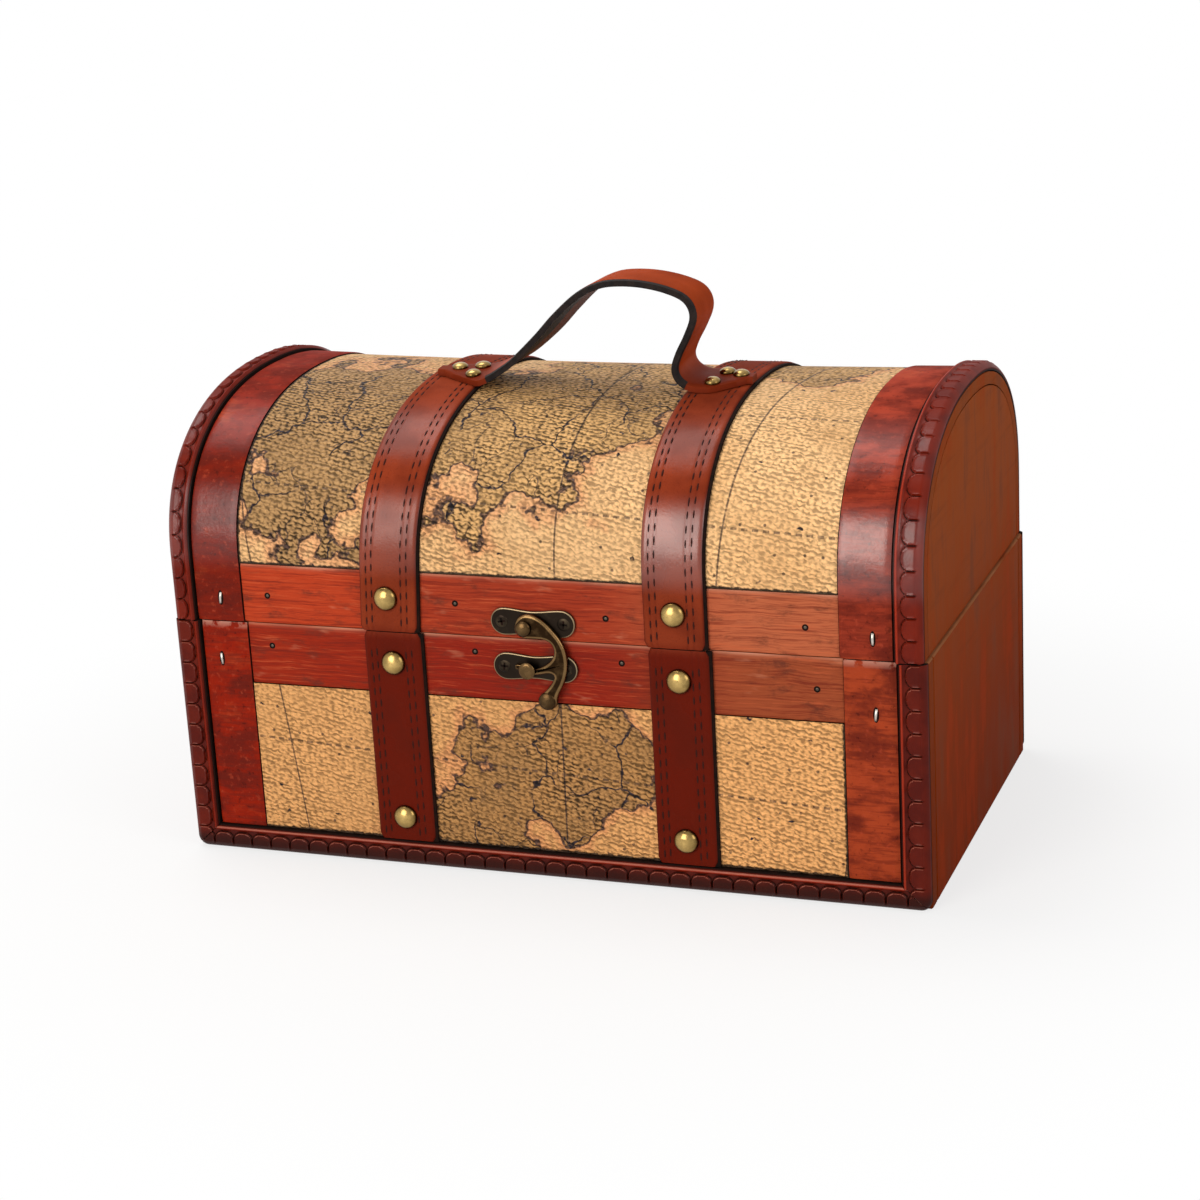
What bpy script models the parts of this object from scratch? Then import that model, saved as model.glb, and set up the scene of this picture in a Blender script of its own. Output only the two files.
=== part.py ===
"""A small suitcase box: a wooden case and an arched lid, covered, edged, strapped and latched.

Lengths are in metres. X runs to the right seen from the front, Y to the back and Z up.
The origin is the middle of the underside, on the surface that the case stands on.
An offset is a distance outside the bare front and back boards, or outside the lid's bent shell.
"""

import math

import bmesh
import bpy
from mathutils import Matrix, Vector

# The wooden case, measured over its bare boards
CASE_WIDTH = 0.250
CASE_DEPTH = 0.139
SEAM_HEIGHT = 0.0795
WALL_BOARD = 0.006
END_BOARD = 0.006
BOTTOM_BOARD = 0.005
BOARD_EASE = 0.0005
FIT_GAP = 0.0003

# The lid: upright walls to just above the rails, then an arch that sags a little between its ends
SPRING_ABOVE_RAIL = 0.001
ARCH_RISE = 0.048
ARCH_SAG = 0.0014
ARCH_SHOULDER_SHARE = 0.74
SHELL_THICKNESS = 0.004
LID_SHIFT = -0.001
LID_LEFT_TUCK = 0.0014

# The coverings that lie on the boards
COVER_THICKNESS = 0.0008
RAIL_THICKNESS = 0.0008
LID_RAIL_WIDTH = 0.0194
BASE_RAIL_WIDTH = 0.0204
BAND_THICKNESS = 0.0014
BAND_WIDTH = 0.0162
TRIM_THICKNESS = 0.0032
TRIM_WIDTH = 0.0092
BOTTOM_TRIM_WIDTH = 0.0083
STRAP_THICKNESS = 0.0012
STRAP_WIDTH = 0.0194
STRAP_PLACE_SHARE = 0.1908
LEFT_STRAP_LEAN = 0.0045

# The dome-headed studs that hold the straps
STUD_RADIUS = 0.004
STUD_HEIGHT = 0.0024
STUD_SHANK_RADIUS = 0.0008
STUD_SHANK_LENGTH = 0.0056
LID_STUD_ABOVE_SEAM = 0.0112
BASE_STUD_BELOW_SEAM = 0.0101
BASE_STUD_ABOVE_FLOOR = 0.0168

# The leather carrying handle and the small studs at its two ends
HANDLE_RISE = 0.032
HANDLE_WIDTH = 0.020
HANDLE_THICKNESS = 0.0022
HANDLE_FORWARD = 0.0135
HANDLE_LEFT_TIP_LENGTH = 0.018
HANDLE_RIGHT_TIP_LENGTH = 0.0114
HANDLE_TIP_BACK = 0.0015
HANDLE_TIP_END_SHARE = 0.25
HANDLE_TIP_POWER_SHARE = 0.7
HANDLE_STUD_RADIUS = 0.0026
HANDLE_STUD_HEIGHT = 0.0014
HANDLE_STUD_SHANK_LENGTH = 0.0062

# The swing hook latch and its catch
LATCH_CENTRE = 0.0005
LATCH_PLATE_LENGTH = 0.028
LATCH_PLATE_HEIGHT = 0.0088
LATCH_PLATE_THICKNESS = 0.0009
LATCH_PLATE_WAIST_SHARE = 0.82
LATCH_PLATE_ABOVE_SEAM = 0.0058
CATCH_PLATE_BELOW_SEAM = 0.0089
LATCH_SCREW_SPREAD = 0.0103
LATCH_SCREW_RADIUS = 0.002
LATCH_SCREW_SHANK_RADIUS = 0.0008
LATCH_SCREW_LENGTH = 0.0054
LATCH_SCREW_HEAD = 0.0011
PIVOT_LEFT = 0.0024
PIVOT_DROP = 0.0014
PIVOT_RADIUS = 0.0013
PIVOT_HEAD_RADIUS = 0.0026
PIVOT_HEAD_HEIGHT = 0.0014
PIVOT_CLEARANCE = 0.0001
ARM_LENGTH = 0.0244
ARM_THICKNESS = 0.0016
CATCH_HEAD_RADIUS = 0.0027
CATCH_HEAD_THICKNESS = 0.001
CATCH_NECK_WIDTH = 0.0028
CATCH_NECK_HEIGHT = 0.0014

# The two hinges at the back
HINGE_PLACE_SHARE = 0.31
HINGE_WIDTH = 0.024
HINGE_LEAF_HEIGHT = 0.0145
HINGE_LEAF_THICKNESS = 0.0009
HINGE_AXIS_CLEARANCE = 0.0002
HINGE_PIN_RADIUS = 0.0009
HINGE_PIN_CLEARANCE = 0.0001
HINGE_PIN_HEAD_RADIUS = 0.0017
HINGE_PIN_HEAD_LENGTH = 0.0007

# One overrun serves every cutter
CUT_OVERRUN = 0.001

# Places round the handle, as shares of the spacing of the straps and of the handle's rise
HANDLE_ROUTE_SHARES = (
    (-0.519, 0.0),
    (-0.512, 0.0),
    (-0.492, 0.0),
    (-0.460, 0.0),
    (-0.400, 0.0),
    (-0.345, 0.0),
    (-0.300, 0.040),
    (-0.252, 0.112),
    (-0.192, 0.225),
    (-0.103, 0.453),
    (-0.031, 0.669),
    (0.048, 0.870),
    (0.120, 0.972),
    (0.189, 1.0),
    (0.273, 0.988),
    (0.356, 0.935),
    (0.412, 0.855),
    (0.430, 0.720),
    (0.407, 0.545),
    (0.375, 0.370),
    (0.359, 0.220),
    (0.374, 0.095),
    (0.418, 0.012),
    (0.480, 0.0),
    (0.545, 0.0),
    (0.580, 0.0),
    (0.601, 0.0),
    (0.608, 0.0),
)

# The handle's studs, as shares of the straps' spacing and of the handle's width from its middle
HANDLE_STUD_SHARES = {
    "left": ((-0.4455, 0.075), (-0.370, 0.185), (-0.370, -0.250)),
    "right": ((0.4885, -0.325), (0.509, 0.175), (0.563, 0.065)),
}

# The swing arm's outline round its pivot, clockwise from the left of the eye, as shares of its length
ARM_OUTLINE_SHARES = (
    (-0.125, 0.03),
    (-0.085, 0.125),
    (0.0, 0.178),
    (0.095, 0.182),
    (0.185, 0.155),
    (0.280, 0.095),
    (0.375, 0.0),
    (0.460, -0.100),
    (0.522, -0.210),
    (0.555, -0.330),
    (0.562, -0.460),
    (0.540, -0.595),
    (0.490, -0.730),
    (0.430, -0.840),
    (0.398, -0.920),
    (0.388, -1.005),
    (0.335, -1.065),
    (0.255, -1.080),
    (0.180, -1.040),
    (0.150, -0.965),
    (0.170, -0.895),
    (0.225, -0.845),
    (0.300, -0.765),
    (0.355, -0.685),
    (0.372, -0.618),
    (0.310, -0.590),
    (0.185, -0.612),
    (0.040, -0.632),
    (-0.045, -0.630),
    (-0.078, -0.600),
    (-0.050, -0.575),
    (0.080, -0.560),
    (0.215, -0.505),
    (0.320, -0.435),
    (0.378, -0.355),
    (0.390, -0.270),
    (0.355, -0.190),
    (0.270, -0.145),
    (0.130, -0.138),
    (0.010, -0.138),
    (-0.080, -0.108),
    (-0.130, -0.040),
)

# The catch head's centre and its neck's centre below the pivot, as shares of the arm's length
CATCH_HEAD_SHARES = (0.020, -0.560)
CATCH_NECK_SHARES = (-0.075, -0.515)

# Counts
ARCH_STEPS = 30
SAG_COLUMNS = 4
HANDLE_STEPS_PER_PLACE = 2
ROUND_SIDES = 20
SMALL_SIDES = 16
SHANK_SIDES = 8
DOME_STEPS = 4
WAIST_STEPS = 8

# Each finish is a colour, a roughness and a metallic value
FINISHES = {
    "stained_board": ((0.33, 0.10, 0.045), 0.45, 0.0),
    "inner_board": ((0.42, 0.18, 0.09), 0.6, 0.0),
    "stained_rail": ((0.50, 0.07, 0.03), 0.4, 0.0),
    "printed_cover": ((0.72, 0.50, 0.27), 0.55, 0.0),
    "band_leather": ((0.25, 0.035, 0.025), 0.35, 0.0),
    "trim_leather": ((0.20, 0.02, 0.015), 0.3, 0.0),
    "strap_leather": ((0.28, 0.06, 0.035), 0.4, 0.0),
    "handle_leather": ((0.45, 0.12, 0.04), 0.4, 0.0),
    "bright_brass": ((0.72, 0.52, 0.18), 0.25, 1.0),
    "aged_bronze": ((0.20, 0.15, 0.09), 0.4, 1.0),
}

# Sizes worked out from the ones above
HALF_WIDTH = CASE_WIDTH / 2
HALF_DEPTH = CASE_DEPTH / 2
ARCH_EXPONENT = math.log(1 / 2) / math.log(ARCH_SHOULDER_SHARE)
BASE_TOP = SEAM_HEIGHT - FIT_GAP / 2
LID_FOOT = SEAM_HEIGHT + FIT_GAP / 2
LID_RAIL_TOP = LID_FOOT + LID_RAIL_WIDTH
SPRING_HEIGHT = LID_RAIL_TOP + SPRING_ABOVE_RAIL
STRAP_PLACE = STRAP_PLACE_SHARE * CASE_WIDTH
HINGE_PLACE = HINGE_PLACE_SHARE * CASE_WIDTH
BASE_RAIL_FOOT = BASE_TOP - BASE_RAIL_WIDTH
SKIN_OUTER = FIT_GAP + max(COVER_THICKNESS, RAIL_THICKNESS)
BAND_OUTER = FIT_GAP + BAND_THICKNESS
TRIM_OUTER = FIT_GAP + TRIM_THICKNESS
STRAP_INNER = SKIN_OUTER + FIT_GAP
STRAP_OUTER = STRAP_INNER + STRAP_THICKNESS
TRIM_EDGE = HALF_WIDTH - TRIM_WIDTH
BAND_OUTER_EDGE = TRIM_EDGE - FIT_GAP
BAND_INNER_EDGE = BAND_OUTER_EDGE - BAND_WIDTH
SKIN_EDGE = BAND_INNER_EDGE - FIT_GAP
SKIN_FOOT = BOTTOM_TRIM_WIDTH + FIT_GAP
SHELL_INNER = -(SHELL_THICKNESS + FIT_GAP)
LATCH_PLATE_INNER = SKIN_OUTER + FIT_GAP
LATCH_PLATE_OUTER = LATCH_PLATE_INNER + LATCH_PLATE_THICKNESS
ARM_INNER = LATCH_PLATE_OUTER + FIT_GAP
ARM_OUTER = ARM_INNER + ARM_THICKNESS
LATCH_PLATE_MIDDLE = SEAM_HEIGHT + LATCH_PLATE_ABOVE_SEAM
CATCH_PLATE_MIDDLE = SEAM_HEIGHT - CATCH_PLATE_BELOW_SEAM
PIVOT_X = LATCH_CENTRE - PIVOT_LEFT
PIVOT_HEIGHT = LATCH_PLATE_MIDDLE - PIVOT_DROP
HINGE_LEAF_INNER = SKIN_OUTER + FIT_GAP
HINGE_AXIS_OFFSET = max(TRIM_OUTER, STRAP_OUTER) + HINGE_AXIS_CLEARANCE
HINGE_AXIS = HALF_DEPTH + HINGE_AXIS_OFFSET
KNUCKLE_RADIUS = HINGE_AXIS_OFFSET - HINGE_LEAF_INNER - HINGE_LEAF_THICKNESS / 3
KNUCKLE_LENGTH = HINGE_WIDTH / 3

FRONT = -1
BACK = 1
SIDES = (("left", -1), ("right", 1))
TURN_TO_FRONT = (math.pi / 2, 0, 0)
TURN_TO_BACK = (-math.pi / 2, 0, 0)
TURN_TO_SIDE = (math.pi / 2, 0, math.pi / 2)


def clear_scene():
    """Removes every object that the scene starts with."""
    for thing in list(bpy.data.objects):
        bpy.data.objects.remove(thing, do_unlink=True)


def new_collection(name):
    """A collection of this name, linked to the scene."""
    group = bpy.data.collections.new(name)
    bpy.context.scene.collection.children.link(group)
    return group


def make_material(name):
    """The finish of this name as a Principled material."""
    colour, roughness, metallic = FINISHES[name]
    material = bpy.data.materials.new(name)
    material.use_nodes = True
    shader = material.node_tree.nodes["Principled BSDF"]
    shader.inputs["Base Color"].default_value = (*colour, 1)
    shader.inputs["Roughness"].default_value = roughness
    shader.inputs["Metallic"].default_value = metallic
    return material


clear_scene()
PARTS = new_collection("suitcase_box")
CUTTERS = new_collection("cutters")
MATERIALS = {name: make_material(name) for name in FINISHES}


def add_piece(name, mesh, finish):
    """An object of the model, in its finish."""
    piece = bpy.data.objects.new(name, mesh)
    PARTS.objects.link(piece)
    mesh.materials.clear()
    mesh.materials.append(MATERIALS[finish])
    return piece


def as_helper(piece):
    """Turns a piece into a helper for Booleans: drawn as wire and left out of the model."""
    for group in list(piece.users_collection):
        group.objects.unlink(piece)
    CUTTERS.objects.link(piece)
    piece.hide_render = True
    piece.display_type = "WIRE"
    return piece


def boolean(piece, helper, operation):
    """Cuts the helper from the piece, or joins it on."""
    step = piece.modifiers.new(helper.name, "BOOLEAN")
    step.operation = operation
    step.solver = "EXACT"
    step.object = helper


def block_mesh(name, low, high):
    """The mesh of a rectangular block between two corners, round its own middle."""
    shape = bmesh.new()
    bmesh.ops.create_cube(shape, size=1)
    size = Vector(high) - Vector(low)
    bmesh.ops.scale(shape, vec=size, verts=shape.verts)
    mesh = bpy.data.meshes.new(name)
    shape.to_mesh(mesh)
    shape.free()
    return mesh


def board(name, low, high, finish):
    """A rectangular piece between two corners, with eased edges."""
    piece = add_piece(name, block_mesh(name, low, high), finish)
    piece.location = (Vector(low) + Vector(high)) / 2
    thinnest = min(Vector(high) - Vector(low))
    ease = piece.modifiers.new("eased_edges", "BEVEL")
    ease.width = min(BOARD_EASE, thinnest / 4)
    ease.segments = 1
    return piece


def face_board(name, left, right, foot, top, inner, outer, side, finish):
    """A board on the front or the back of the case, between two offsets from its bare face."""
    near = side * (HALF_DEPTH + inner)
    far = side * (HALF_DEPTH + outer)
    return board(name, (left, min(near, far), foot), (right, max(near, far), top), finish)


def flat_piece(name, outline, thickness, place, turn, finish):
    """A flat piece with this outline, whose middle plane passes through place."""
    curve = bpy.data.curves.new(name, "CURVE")
    curve.dimensions = "2D"
    curve.fill_mode = "BOTH"
    curve.extrude = thickness / 2
    spline = curve.splines.new("POLY")
    spline.points.add(len(outline) - 1)
    for point, (x, y) in zip(spline.points, outline):
        point.co = (x, y, 0, 1)
    spline.use_cyclic_u = True
    guide = bpy.data.objects.new(name, curve)
    guide.location = place
    guide.rotation_euler = turn
    PARTS.objects.link(guide)
    graph = bpy.context.evaluated_depsgraph_get()
    mesh = bpy.data.meshes.new_from_object(guide.evaluated_get(graph))
    world = guide.matrix_world.copy()
    bpy.data.objects.remove(guide)
    shape = bmesh.new()
    shape.from_mesh(mesh)
    bmesh.ops.remove_doubles(shape, verts=shape.verts, dist=FIT_GAP / 10)
    bmesh.ops.recalc_face_normals(shape, faces=shape.faces)
    shape.to_mesh(mesh)
    shape.free()
    piece = add_piece(name, mesh, finish)
    piece.matrix_world = world
    return piece


def turned_piece(name, profile, place, turn, finish, sides):
    """A turned piece: a profile of radius and height, listed from the top down, swept round Z."""
    mesh = bpy.data.meshes.new(name)
    points = [(radius, 0, height) for radius, height in profile]
    edges = [(number, number + 1) for number in range(len(points) - 1)]
    mesh.from_pydata(points, edges, [])
    piece = add_piece(name, mesh, finish)
    piece.location = place
    piece.rotation_euler = turn
    screw = piece.modifiers.new("turned", "SCREW")
    screw.angle = 2 * math.pi
    screw.steps = sides
    screw.render_steps = sides
    screw.use_merge_vertices = True
    screw.merge_threshold = FIT_GAP / 10
    return piece


def dome_profile(radius, height, foot):
    """A shallow dome's profile from its top down to its rim."""
    turns = [math.pi / 2 * step / DOME_STEPS for step in range(DOME_STEPS + 1)]
    return [(radius * math.sin(turn), foot + height * math.cos(turn)) for turn in turns]


def nail_profile(radius, height, shank_radius, shank_length):
    """A dome-headed nail with its head's underside at zero."""
    shank = [(shank_radius, 0), (shank_radius, -shank_length), (0, -shank_length - shank_radius)]
    return dome_profile(radius, height, 0) + shank


def screw_profile(extra):
    """A flat-headed screw with its face at zero, grown by extra all round for its hole."""
    lift = CUT_OVERRUN if extra else 0
    head = LATCH_SCREW_RADIUS + extra
    shank = LATCH_SCREW_SHANK_RADIUS + extra
    end = -LATCH_SCREW_LENGTH - extra
    return [(0, lift), (head, lift), (head, 0), (shank, -LATCH_SCREW_HEAD), (shank, end), (0, end)]


def drill(name, radius, length, place, turn, pieces):
    """Drills a round hole through the pieces, from a little above place down to length below it."""
    profile = [(0, CUT_OVERRUN), (radius, CUT_OVERRUN), (radius, -length), (0, -length)]
    cutter = as_helper(turned_piece(name + "_hole", profile, place, turn, "aged_bronze", SHANK_SIDES))
    for piece in pieces:
        boolean(piece, cutter, "DIFFERENCE")


def arch_rise_at(x):
    """The height of the bare shell's crown above the spring line, at this place along the lid."""
    from_middle = (x - LID_SHIFT) / HALF_WIDTH
    return ARCH_RISE - ARCH_SAG * (1 - from_middle**2)


def arch_angle(height, rise):
    """The angle at which the arch reaches this height, or zero on the upright wall."""
    if height <= SPRING_HEIGHT:
        return 0
    share = min(1, (height - SPRING_HEIGHT) / rise)
    return math.asin(share ** (ARCH_EXPONENT / 2))


def arch_route(x, offset, foot):
    """Points (y, z) over the lid from the front foot to the back foot, at an offset from the shell."""
    rise = arch_rise_at(x) + offset
    reach = HALF_DEPTH + offset
    start = arch_angle(foot, rise)
    power = 2 / ARCH_EXPONENT
    route = []
    for step in range(ARCH_STEPS + 1):
        angle = start + (math.pi - 2 * start) * step / ARCH_STEPS
        across = math.copysign(abs(math.cos(angle)) ** power, math.cos(angle))
        route.append((-reach * across, SPRING_HEIGHT + rise * max(0, math.sin(angle)) ** power))
    if foot < SPRING_HEIGHT:
        route = [(-reach, foot)] + route + [(reach, foot)]
    return route


def arch_surface(x, y, offset):
    """The height of the lid's surface at this place and its slope towards the front, as an angle."""
    rise = arch_rise_at(x) + offset
    share = min(1, abs(y) / (HALF_DEPTH + offset))
    level = (1 - share**ARCH_EXPONENT) ** (1 / ARCH_EXPONENT)
    steepness = rise / (HALF_DEPTH + offset) * (share / level) ** (ARCH_EXPONENT - 1)
    return SPRING_HEIGHT + rise * level, math.copysign(math.atan(steepness), -y)


def sheet(name, columns, rows, point_at, thickness, finish):
    """A bent sheet: a grid laid out by point_at(column, row), then made solid on its outer side."""
    shape = bmesh.new()
    bmesh.ops.create_grid(shape, x_segments=columns, y_segments=rows, size=1)
    for vert in shape.verts:
        column = round((vert.co.x + 1) / 2 * columns)
        row = round((vert.co.y + 1) / 2 * rows)
        vert.co = point_at(column, row)
    mesh = bpy.data.meshes.new(name)
    shape.to_mesh(mesh)
    shape.free()
    mesh.shade_smooth()
    piece = add_piece(name, mesh, finish)
    solid = piece.modifiers.new("thickness", "SOLIDIFY")
    solid.thickness = thickness
    solid.offset = 1
    solid.use_even_offset = True
    return piece


def arch_sheet(name, left, right, inner, thickness, foot, finish, columns, lean=0):
    """A sheet bent over the lid. A lean moves it sideways, most at the crown."""
    rows = len(arch_route(left, inner, foot)) - 1

    def point_at(column, row):
        x = left + (right - left) * column / columns + LID_SHIFT
        x += lean * math.sin(math.pi * row / rows)
        y, z = arch_route(x, inner, foot)[row]
        return x, y, z

    return sheet(name, columns, rows, point_at, thickness, finish)


def make_base_boards():
    """The case's bottom, front, back and two ends."""
    low = -HALF_WIDTH
    high = HALF_WIDTH
    pieces = {}
    for word, side in (("front", FRONT), ("back", BACK)):
        name = f"base_{word}_panel"
        finish = "inner_board"
        pieces[word] = face_board(name, low, high, 0, BASE_TOP, -WALL_BOARD, 0, side, finish)
    inside = HALF_DEPTH - WALL_BOARD - FIT_GAP
    for word, side in SIDES:
        outer = side * HALF_WIDTH
        inner = side * (HALF_WIDTH - END_BOARD)
        low_corner = (min(outer, inner), -inside, 0)
        high_corner = (max(outer, inner), inside, BASE_TOP)
        board(f"base_{word}_panel", low_corner, high_corner, "stained_board")
    end = HALF_WIDTH - END_BOARD - FIT_GAP
    board("base_bottom_panel", (-end, -inside, 0), (end, inside, BOTTOM_BOARD), "inner_board")
    return pieces


def make_base_coverings(word, side):
    """The printed cover, the rail, the two bands and the trims on the case's front or back."""
    cover_top = BASE_RAIL_FOOT - FIT_GAP
    cover = face_board(
        f"base_{word}_cover", -SKIN_EDGE, SKIN_EDGE, SKIN_FOOT, cover_top,
        FIT_GAP, FIT_GAP + COVER_THICKNESS, side, "printed_cover",
    )
    rail = face_board(
        f"base_{word}_rail", -SKIN_EDGE, SKIN_EDGE, BASE_RAIL_FOOT, BASE_TOP,
        FIT_GAP, FIT_GAP + RAIL_THICKNESS, side, "stained_rail",
    )
    for hand, way in SIDES:
        edges = sorted((way * BAND_INNER_EDGE, way * BAND_OUTER_EDGE))
        face_board(
            f"base_band_{word}_{hand}", *edges, SKIN_FOOT, BASE_TOP,
            FIT_GAP, BAND_OUTER, side, "band_leather",
        )
    return cover, rail


def make_base_trims(word, side):
    """The embossed edging of the case's front or back: two uprights mitred to a bottom strip."""
    middle = side * (HALF_DEPTH + FIT_GAP + TRIM_THICKNESS / 2)
    for hand, way in SIDES:
        outline = [
            (way * HALF_WIDTH, FIT_GAP),
            (way * TRIM_EDGE, BOTTOM_TRIM_WIDTH + FIT_GAP),
            (way * TRIM_EDGE, BASE_TOP),
            (way * HALF_WIDTH, BASE_TOP),
        ]
        name = f"base_trim_{word}_{hand}"
        flat_piece(name, outline, TRIM_THICKNESS, (0, middle, 0), TURN_TO_FRONT, "trim_leather")
    outline = [
        (-HALF_WIDTH, 0),
        (HALF_WIDTH, 0),
        (TRIM_EDGE, BOTTOM_TRIM_WIDTH),
        (-TRIM_EDGE, BOTTOM_TRIM_WIDTH),
    ]
    name = f"base_trim_{word}_bottom"
    flat_piece(name, outline, TRIM_THICKNESS, (0, middle, 0), TURN_TO_FRONT, "trim_leather")


def add_front_stud(name, x, height, pieces):
    """A stud that goes through a strap and what is under it into the front."""
    seat = -(HALF_DEPTH + STRAP_OUTER + FIT_GAP)
    profile = nail_profile(STUD_RADIUS, STUD_HEIGHT, STUD_SHANK_RADIUS, STUD_SHANK_LENGTH)
    place = (x, seat, height)
    turned_piece(name, profile, place, TURN_TO_FRONT, "bright_brass", ROUND_SIDES)
    depth = STUD_SHANK_LENGTH + STUD_SHANK_RADIUS + FIT_GAP
    drill(name, STUD_SHANK_RADIUS + FIT_GAP, depth, place, TURN_TO_FRONT, pieces)


def make_base_straps(panel, cover, rail):
    """The two straps on the case's front, each with a stud near both ends."""
    for hand, way in SIDES:
        middle = way * STRAP_PLACE
        strap = face_board(
            f"base_strap_{hand}", middle - STRAP_WIDTH / 2, middle + STRAP_WIDTH / 2,
            SKIN_FOOT, BASE_TOP, STRAP_INNER, STRAP_OUTER, FRONT, "strap_leather",
        )
        top = SEAM_HEIGHT - BASE_STUD_BELOW_SEAM
        add_front_stud(f"base_stud_{hand}_upper", middle, top, (strap, rail, panel))
        add_front_stud(f"base_stud_{hand}_lower", middle, BASE_STUD_ABOVE_FLOOR, (strap, cover, panel))


def make_lid():
    """The lid's bent shell, its end boards, its coverings and its straps."""
    ends = {"left": -HALF_WIDTH + LID_LEFT_TUCK, "right": HALF_WIDTH}
    shell = arch_sheet(
        "lid_shell", ends["left"], ends["right"], -SHELL_THICKNESS, SHELL_THICKNESS, LID_FOOT,
        "inner_board", SAG_COLUMNS,
    )
    cover_foot = LID_RAIL_TOP + FIT_GAP
    cover = arch_sheet(
        "lid_cover", -SKIN_EDGE, SKIN_EDGE, FIT_GAP, COVER_THICKNESS, cover_foot,
        "printed_cover", SAG_COLUMNS,
    )
    rails = {}
    for word, side in (("front", FRONT), ("back", BACK)):
        rails[word] = face_board(
            f"lid_{word}_rail", -SKIN_EDGE + LID_SHIFT, SKIN_EDGE + LID_SHIFT, LID_FOOT,
            LID_RAIL_TOP, FIT_GAP, FIT_GAP + RAIL_THICKNESS, side, "stained_rail",
        )
    straps = {}
    for hand, way in SIDES:
        inner_face = ends[hand] - way * END_BOARD + LID_SHIFT
        middle = ends[hand] - way * END_BOARD / 2 + LID_SHIFT
        outline = arch_route(inner_face, SHELL_INNER, LID_FOOT)
        name = f"lid_{hand}_panel"
        flat_piece(name, outline, END_BOARD, (middle, 0, 0), TURN_TO_SIDE, "stained_board")
        edges = sorted((way * BAND_INNER_EDGE, way * BAND_OUTER_EDGE))
        arch_sheet(
            f"lid_band_{hand}", *edges, FIT_GAP, BAND_THICKNESS, LID_FOOT, "band_leather", 1
        )
        edges = sorted((way * TRIM_EDGE, ends[hand]))
        arch_sheet(
            f"lid_trim_{hand}", *edges, FIT_GAP, TRIM_THICKNESS, LID_FOOT, "trim_leather", 1
        )
        lean = LEFT_STRAP_LEAN if hand == "left" else 0
        strap_middle = way * STRAP_PLACE
        straps[hand] = arch_sheet(
            f"lid_strap_{hand}", strap_middle - STRAP_WIDTH / 2, strap_middle + STRAP_WIDTH / 2,
            STRAP_INNER, STRAP_THICKNESS, LID_FOOT, "strap_leather", 1, lean,
        )
        x = strap_middle + LID_SHIFT
        height = SEAM_HEIGHT + LID_STUD_ABOVE_SEAM
        add_front_stud(f"lid_stud_{hand}", x, height, (straps[hand], rails["front"], shell))
    return shell, cover, rails, straps


def smooth_route(places, steps):
    """Points along a smooth curve through the places, with this many steps between two of them."""
    ends = [places[0] * 2 - places[1], *places, places[-1] * 2 - places[-2]]
    route = []
    for number in range(len(places) - 1):
        before, first, second, after = ends[number : number + 4]
        for step in range(steps):
            share = step / steps
            pull_out = (second - before) * (share - 2 * share**2 + share**3) / 2
            pull_in = (after - first) * (share**3 - share**2) / 2
            blend = 3 * share**2 - 2 * share**3
            route.append(first * (1 - blend) + second * blend + pull_out + pull_in)
    return route + [places[-1]]


def make_handle():
    """The leather handle: a strap whose two ends lie on the lid's straps and whose middle stands up."""
    seat = STRAP_OUTER + FIT_GAP
    spacing = 2 * STRAP_PLACE
    places = [Vector((x * spacing, z * HANDLE_RISE)) for x, z in HANDLE_ROUTE_SHARES]
    route = smooth_route(places, HANDLE_STEPS_PER_PLACE)
    left_tip = route[0].x + HANDLE_LEFT_TIP_LENGTH
    right_tip = route[-1].x - HANDLE_RIGHT_TIP_LENGTH
    crown = arch_surface(0, 0, seat)[0]

    def point_at(column, row):
        x, rise = route[column]
        into_left = (left_tip - x) / HANDLE_LEFT_TIP_LENGTH
        into_right = (x - right_tip) / HANDLE_RIGHT_TIP_LENGTH
        into_tip = min(1, max(0, into_left, into_right))
        taper = max(HANDLE_TIP_END_SHARE, (1 - into_tip) ** HANDLE_TIP_POWER_SHARE)
        x += LID_SHIFT
        y = HANDLE_WIDTH * taper * (row / 2 - 1 / 2) - HANDLE_FORWARD + HANDLE_TIP_BACK * into_tip
        level = min(1, rise / HANDLE_RISE)
        return x, y, rise + level * crown + (1 - level) * arch_surface(x, y, seat)[0]

    return sheet("handle", len(route) - 1, 2, point_at, HANDLE_THICKNESS, "handle_leather")


def add_handle_stud(name, x, y, pieces):
    """A small stud that goes down through the handle's end, the strap, the cover and the shell."""
    seat = STRAP_OUTER + FIT_GAP + HANDLE_THICKNESS + FIT_GAP
    height, slope = arch_surface(x, y, seat)
    profile = nail_profile(
        HANDLE_STUD_RADIUS, HANDLE_STUD_HEIGHT, STUD_SHANK_RADIUS, HANDLE_STUD_SHANK_LENGTH
    )
    place = (x, y, height)
    turn = (slope, 0, 0)
    turned_piece(name, profile, place, turn, "bright_brass", SMALL_SIDES)
    depth = HANDLE_STUD_SHANK_LENGTH + STUD_SHANK_RADIUS + FIT_GAP
    drill(name, STUD_SHANK_RADIUS + FIT_GAP, depth, place, turn, pieces)


def make_handle_studs(handle, straps, cover, shell):
    """Three small studs at each end of the handle, in a triangle."""
    for hand, shares in HANDLE_STUD_SHARES.items():
        for number, (along, across) in enumerate(shares, 1):
            x = along * 2 * STRAP_PLACE + LID_SHIFT
            y = across * HANDLE_WIDTH - HANDLE_FORWARD
            pieces = (handle, straps[hand], cover, shell)
            add_handle_stud(f"handle_stud_{hand}_{number}", x, y, pieces)


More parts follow.
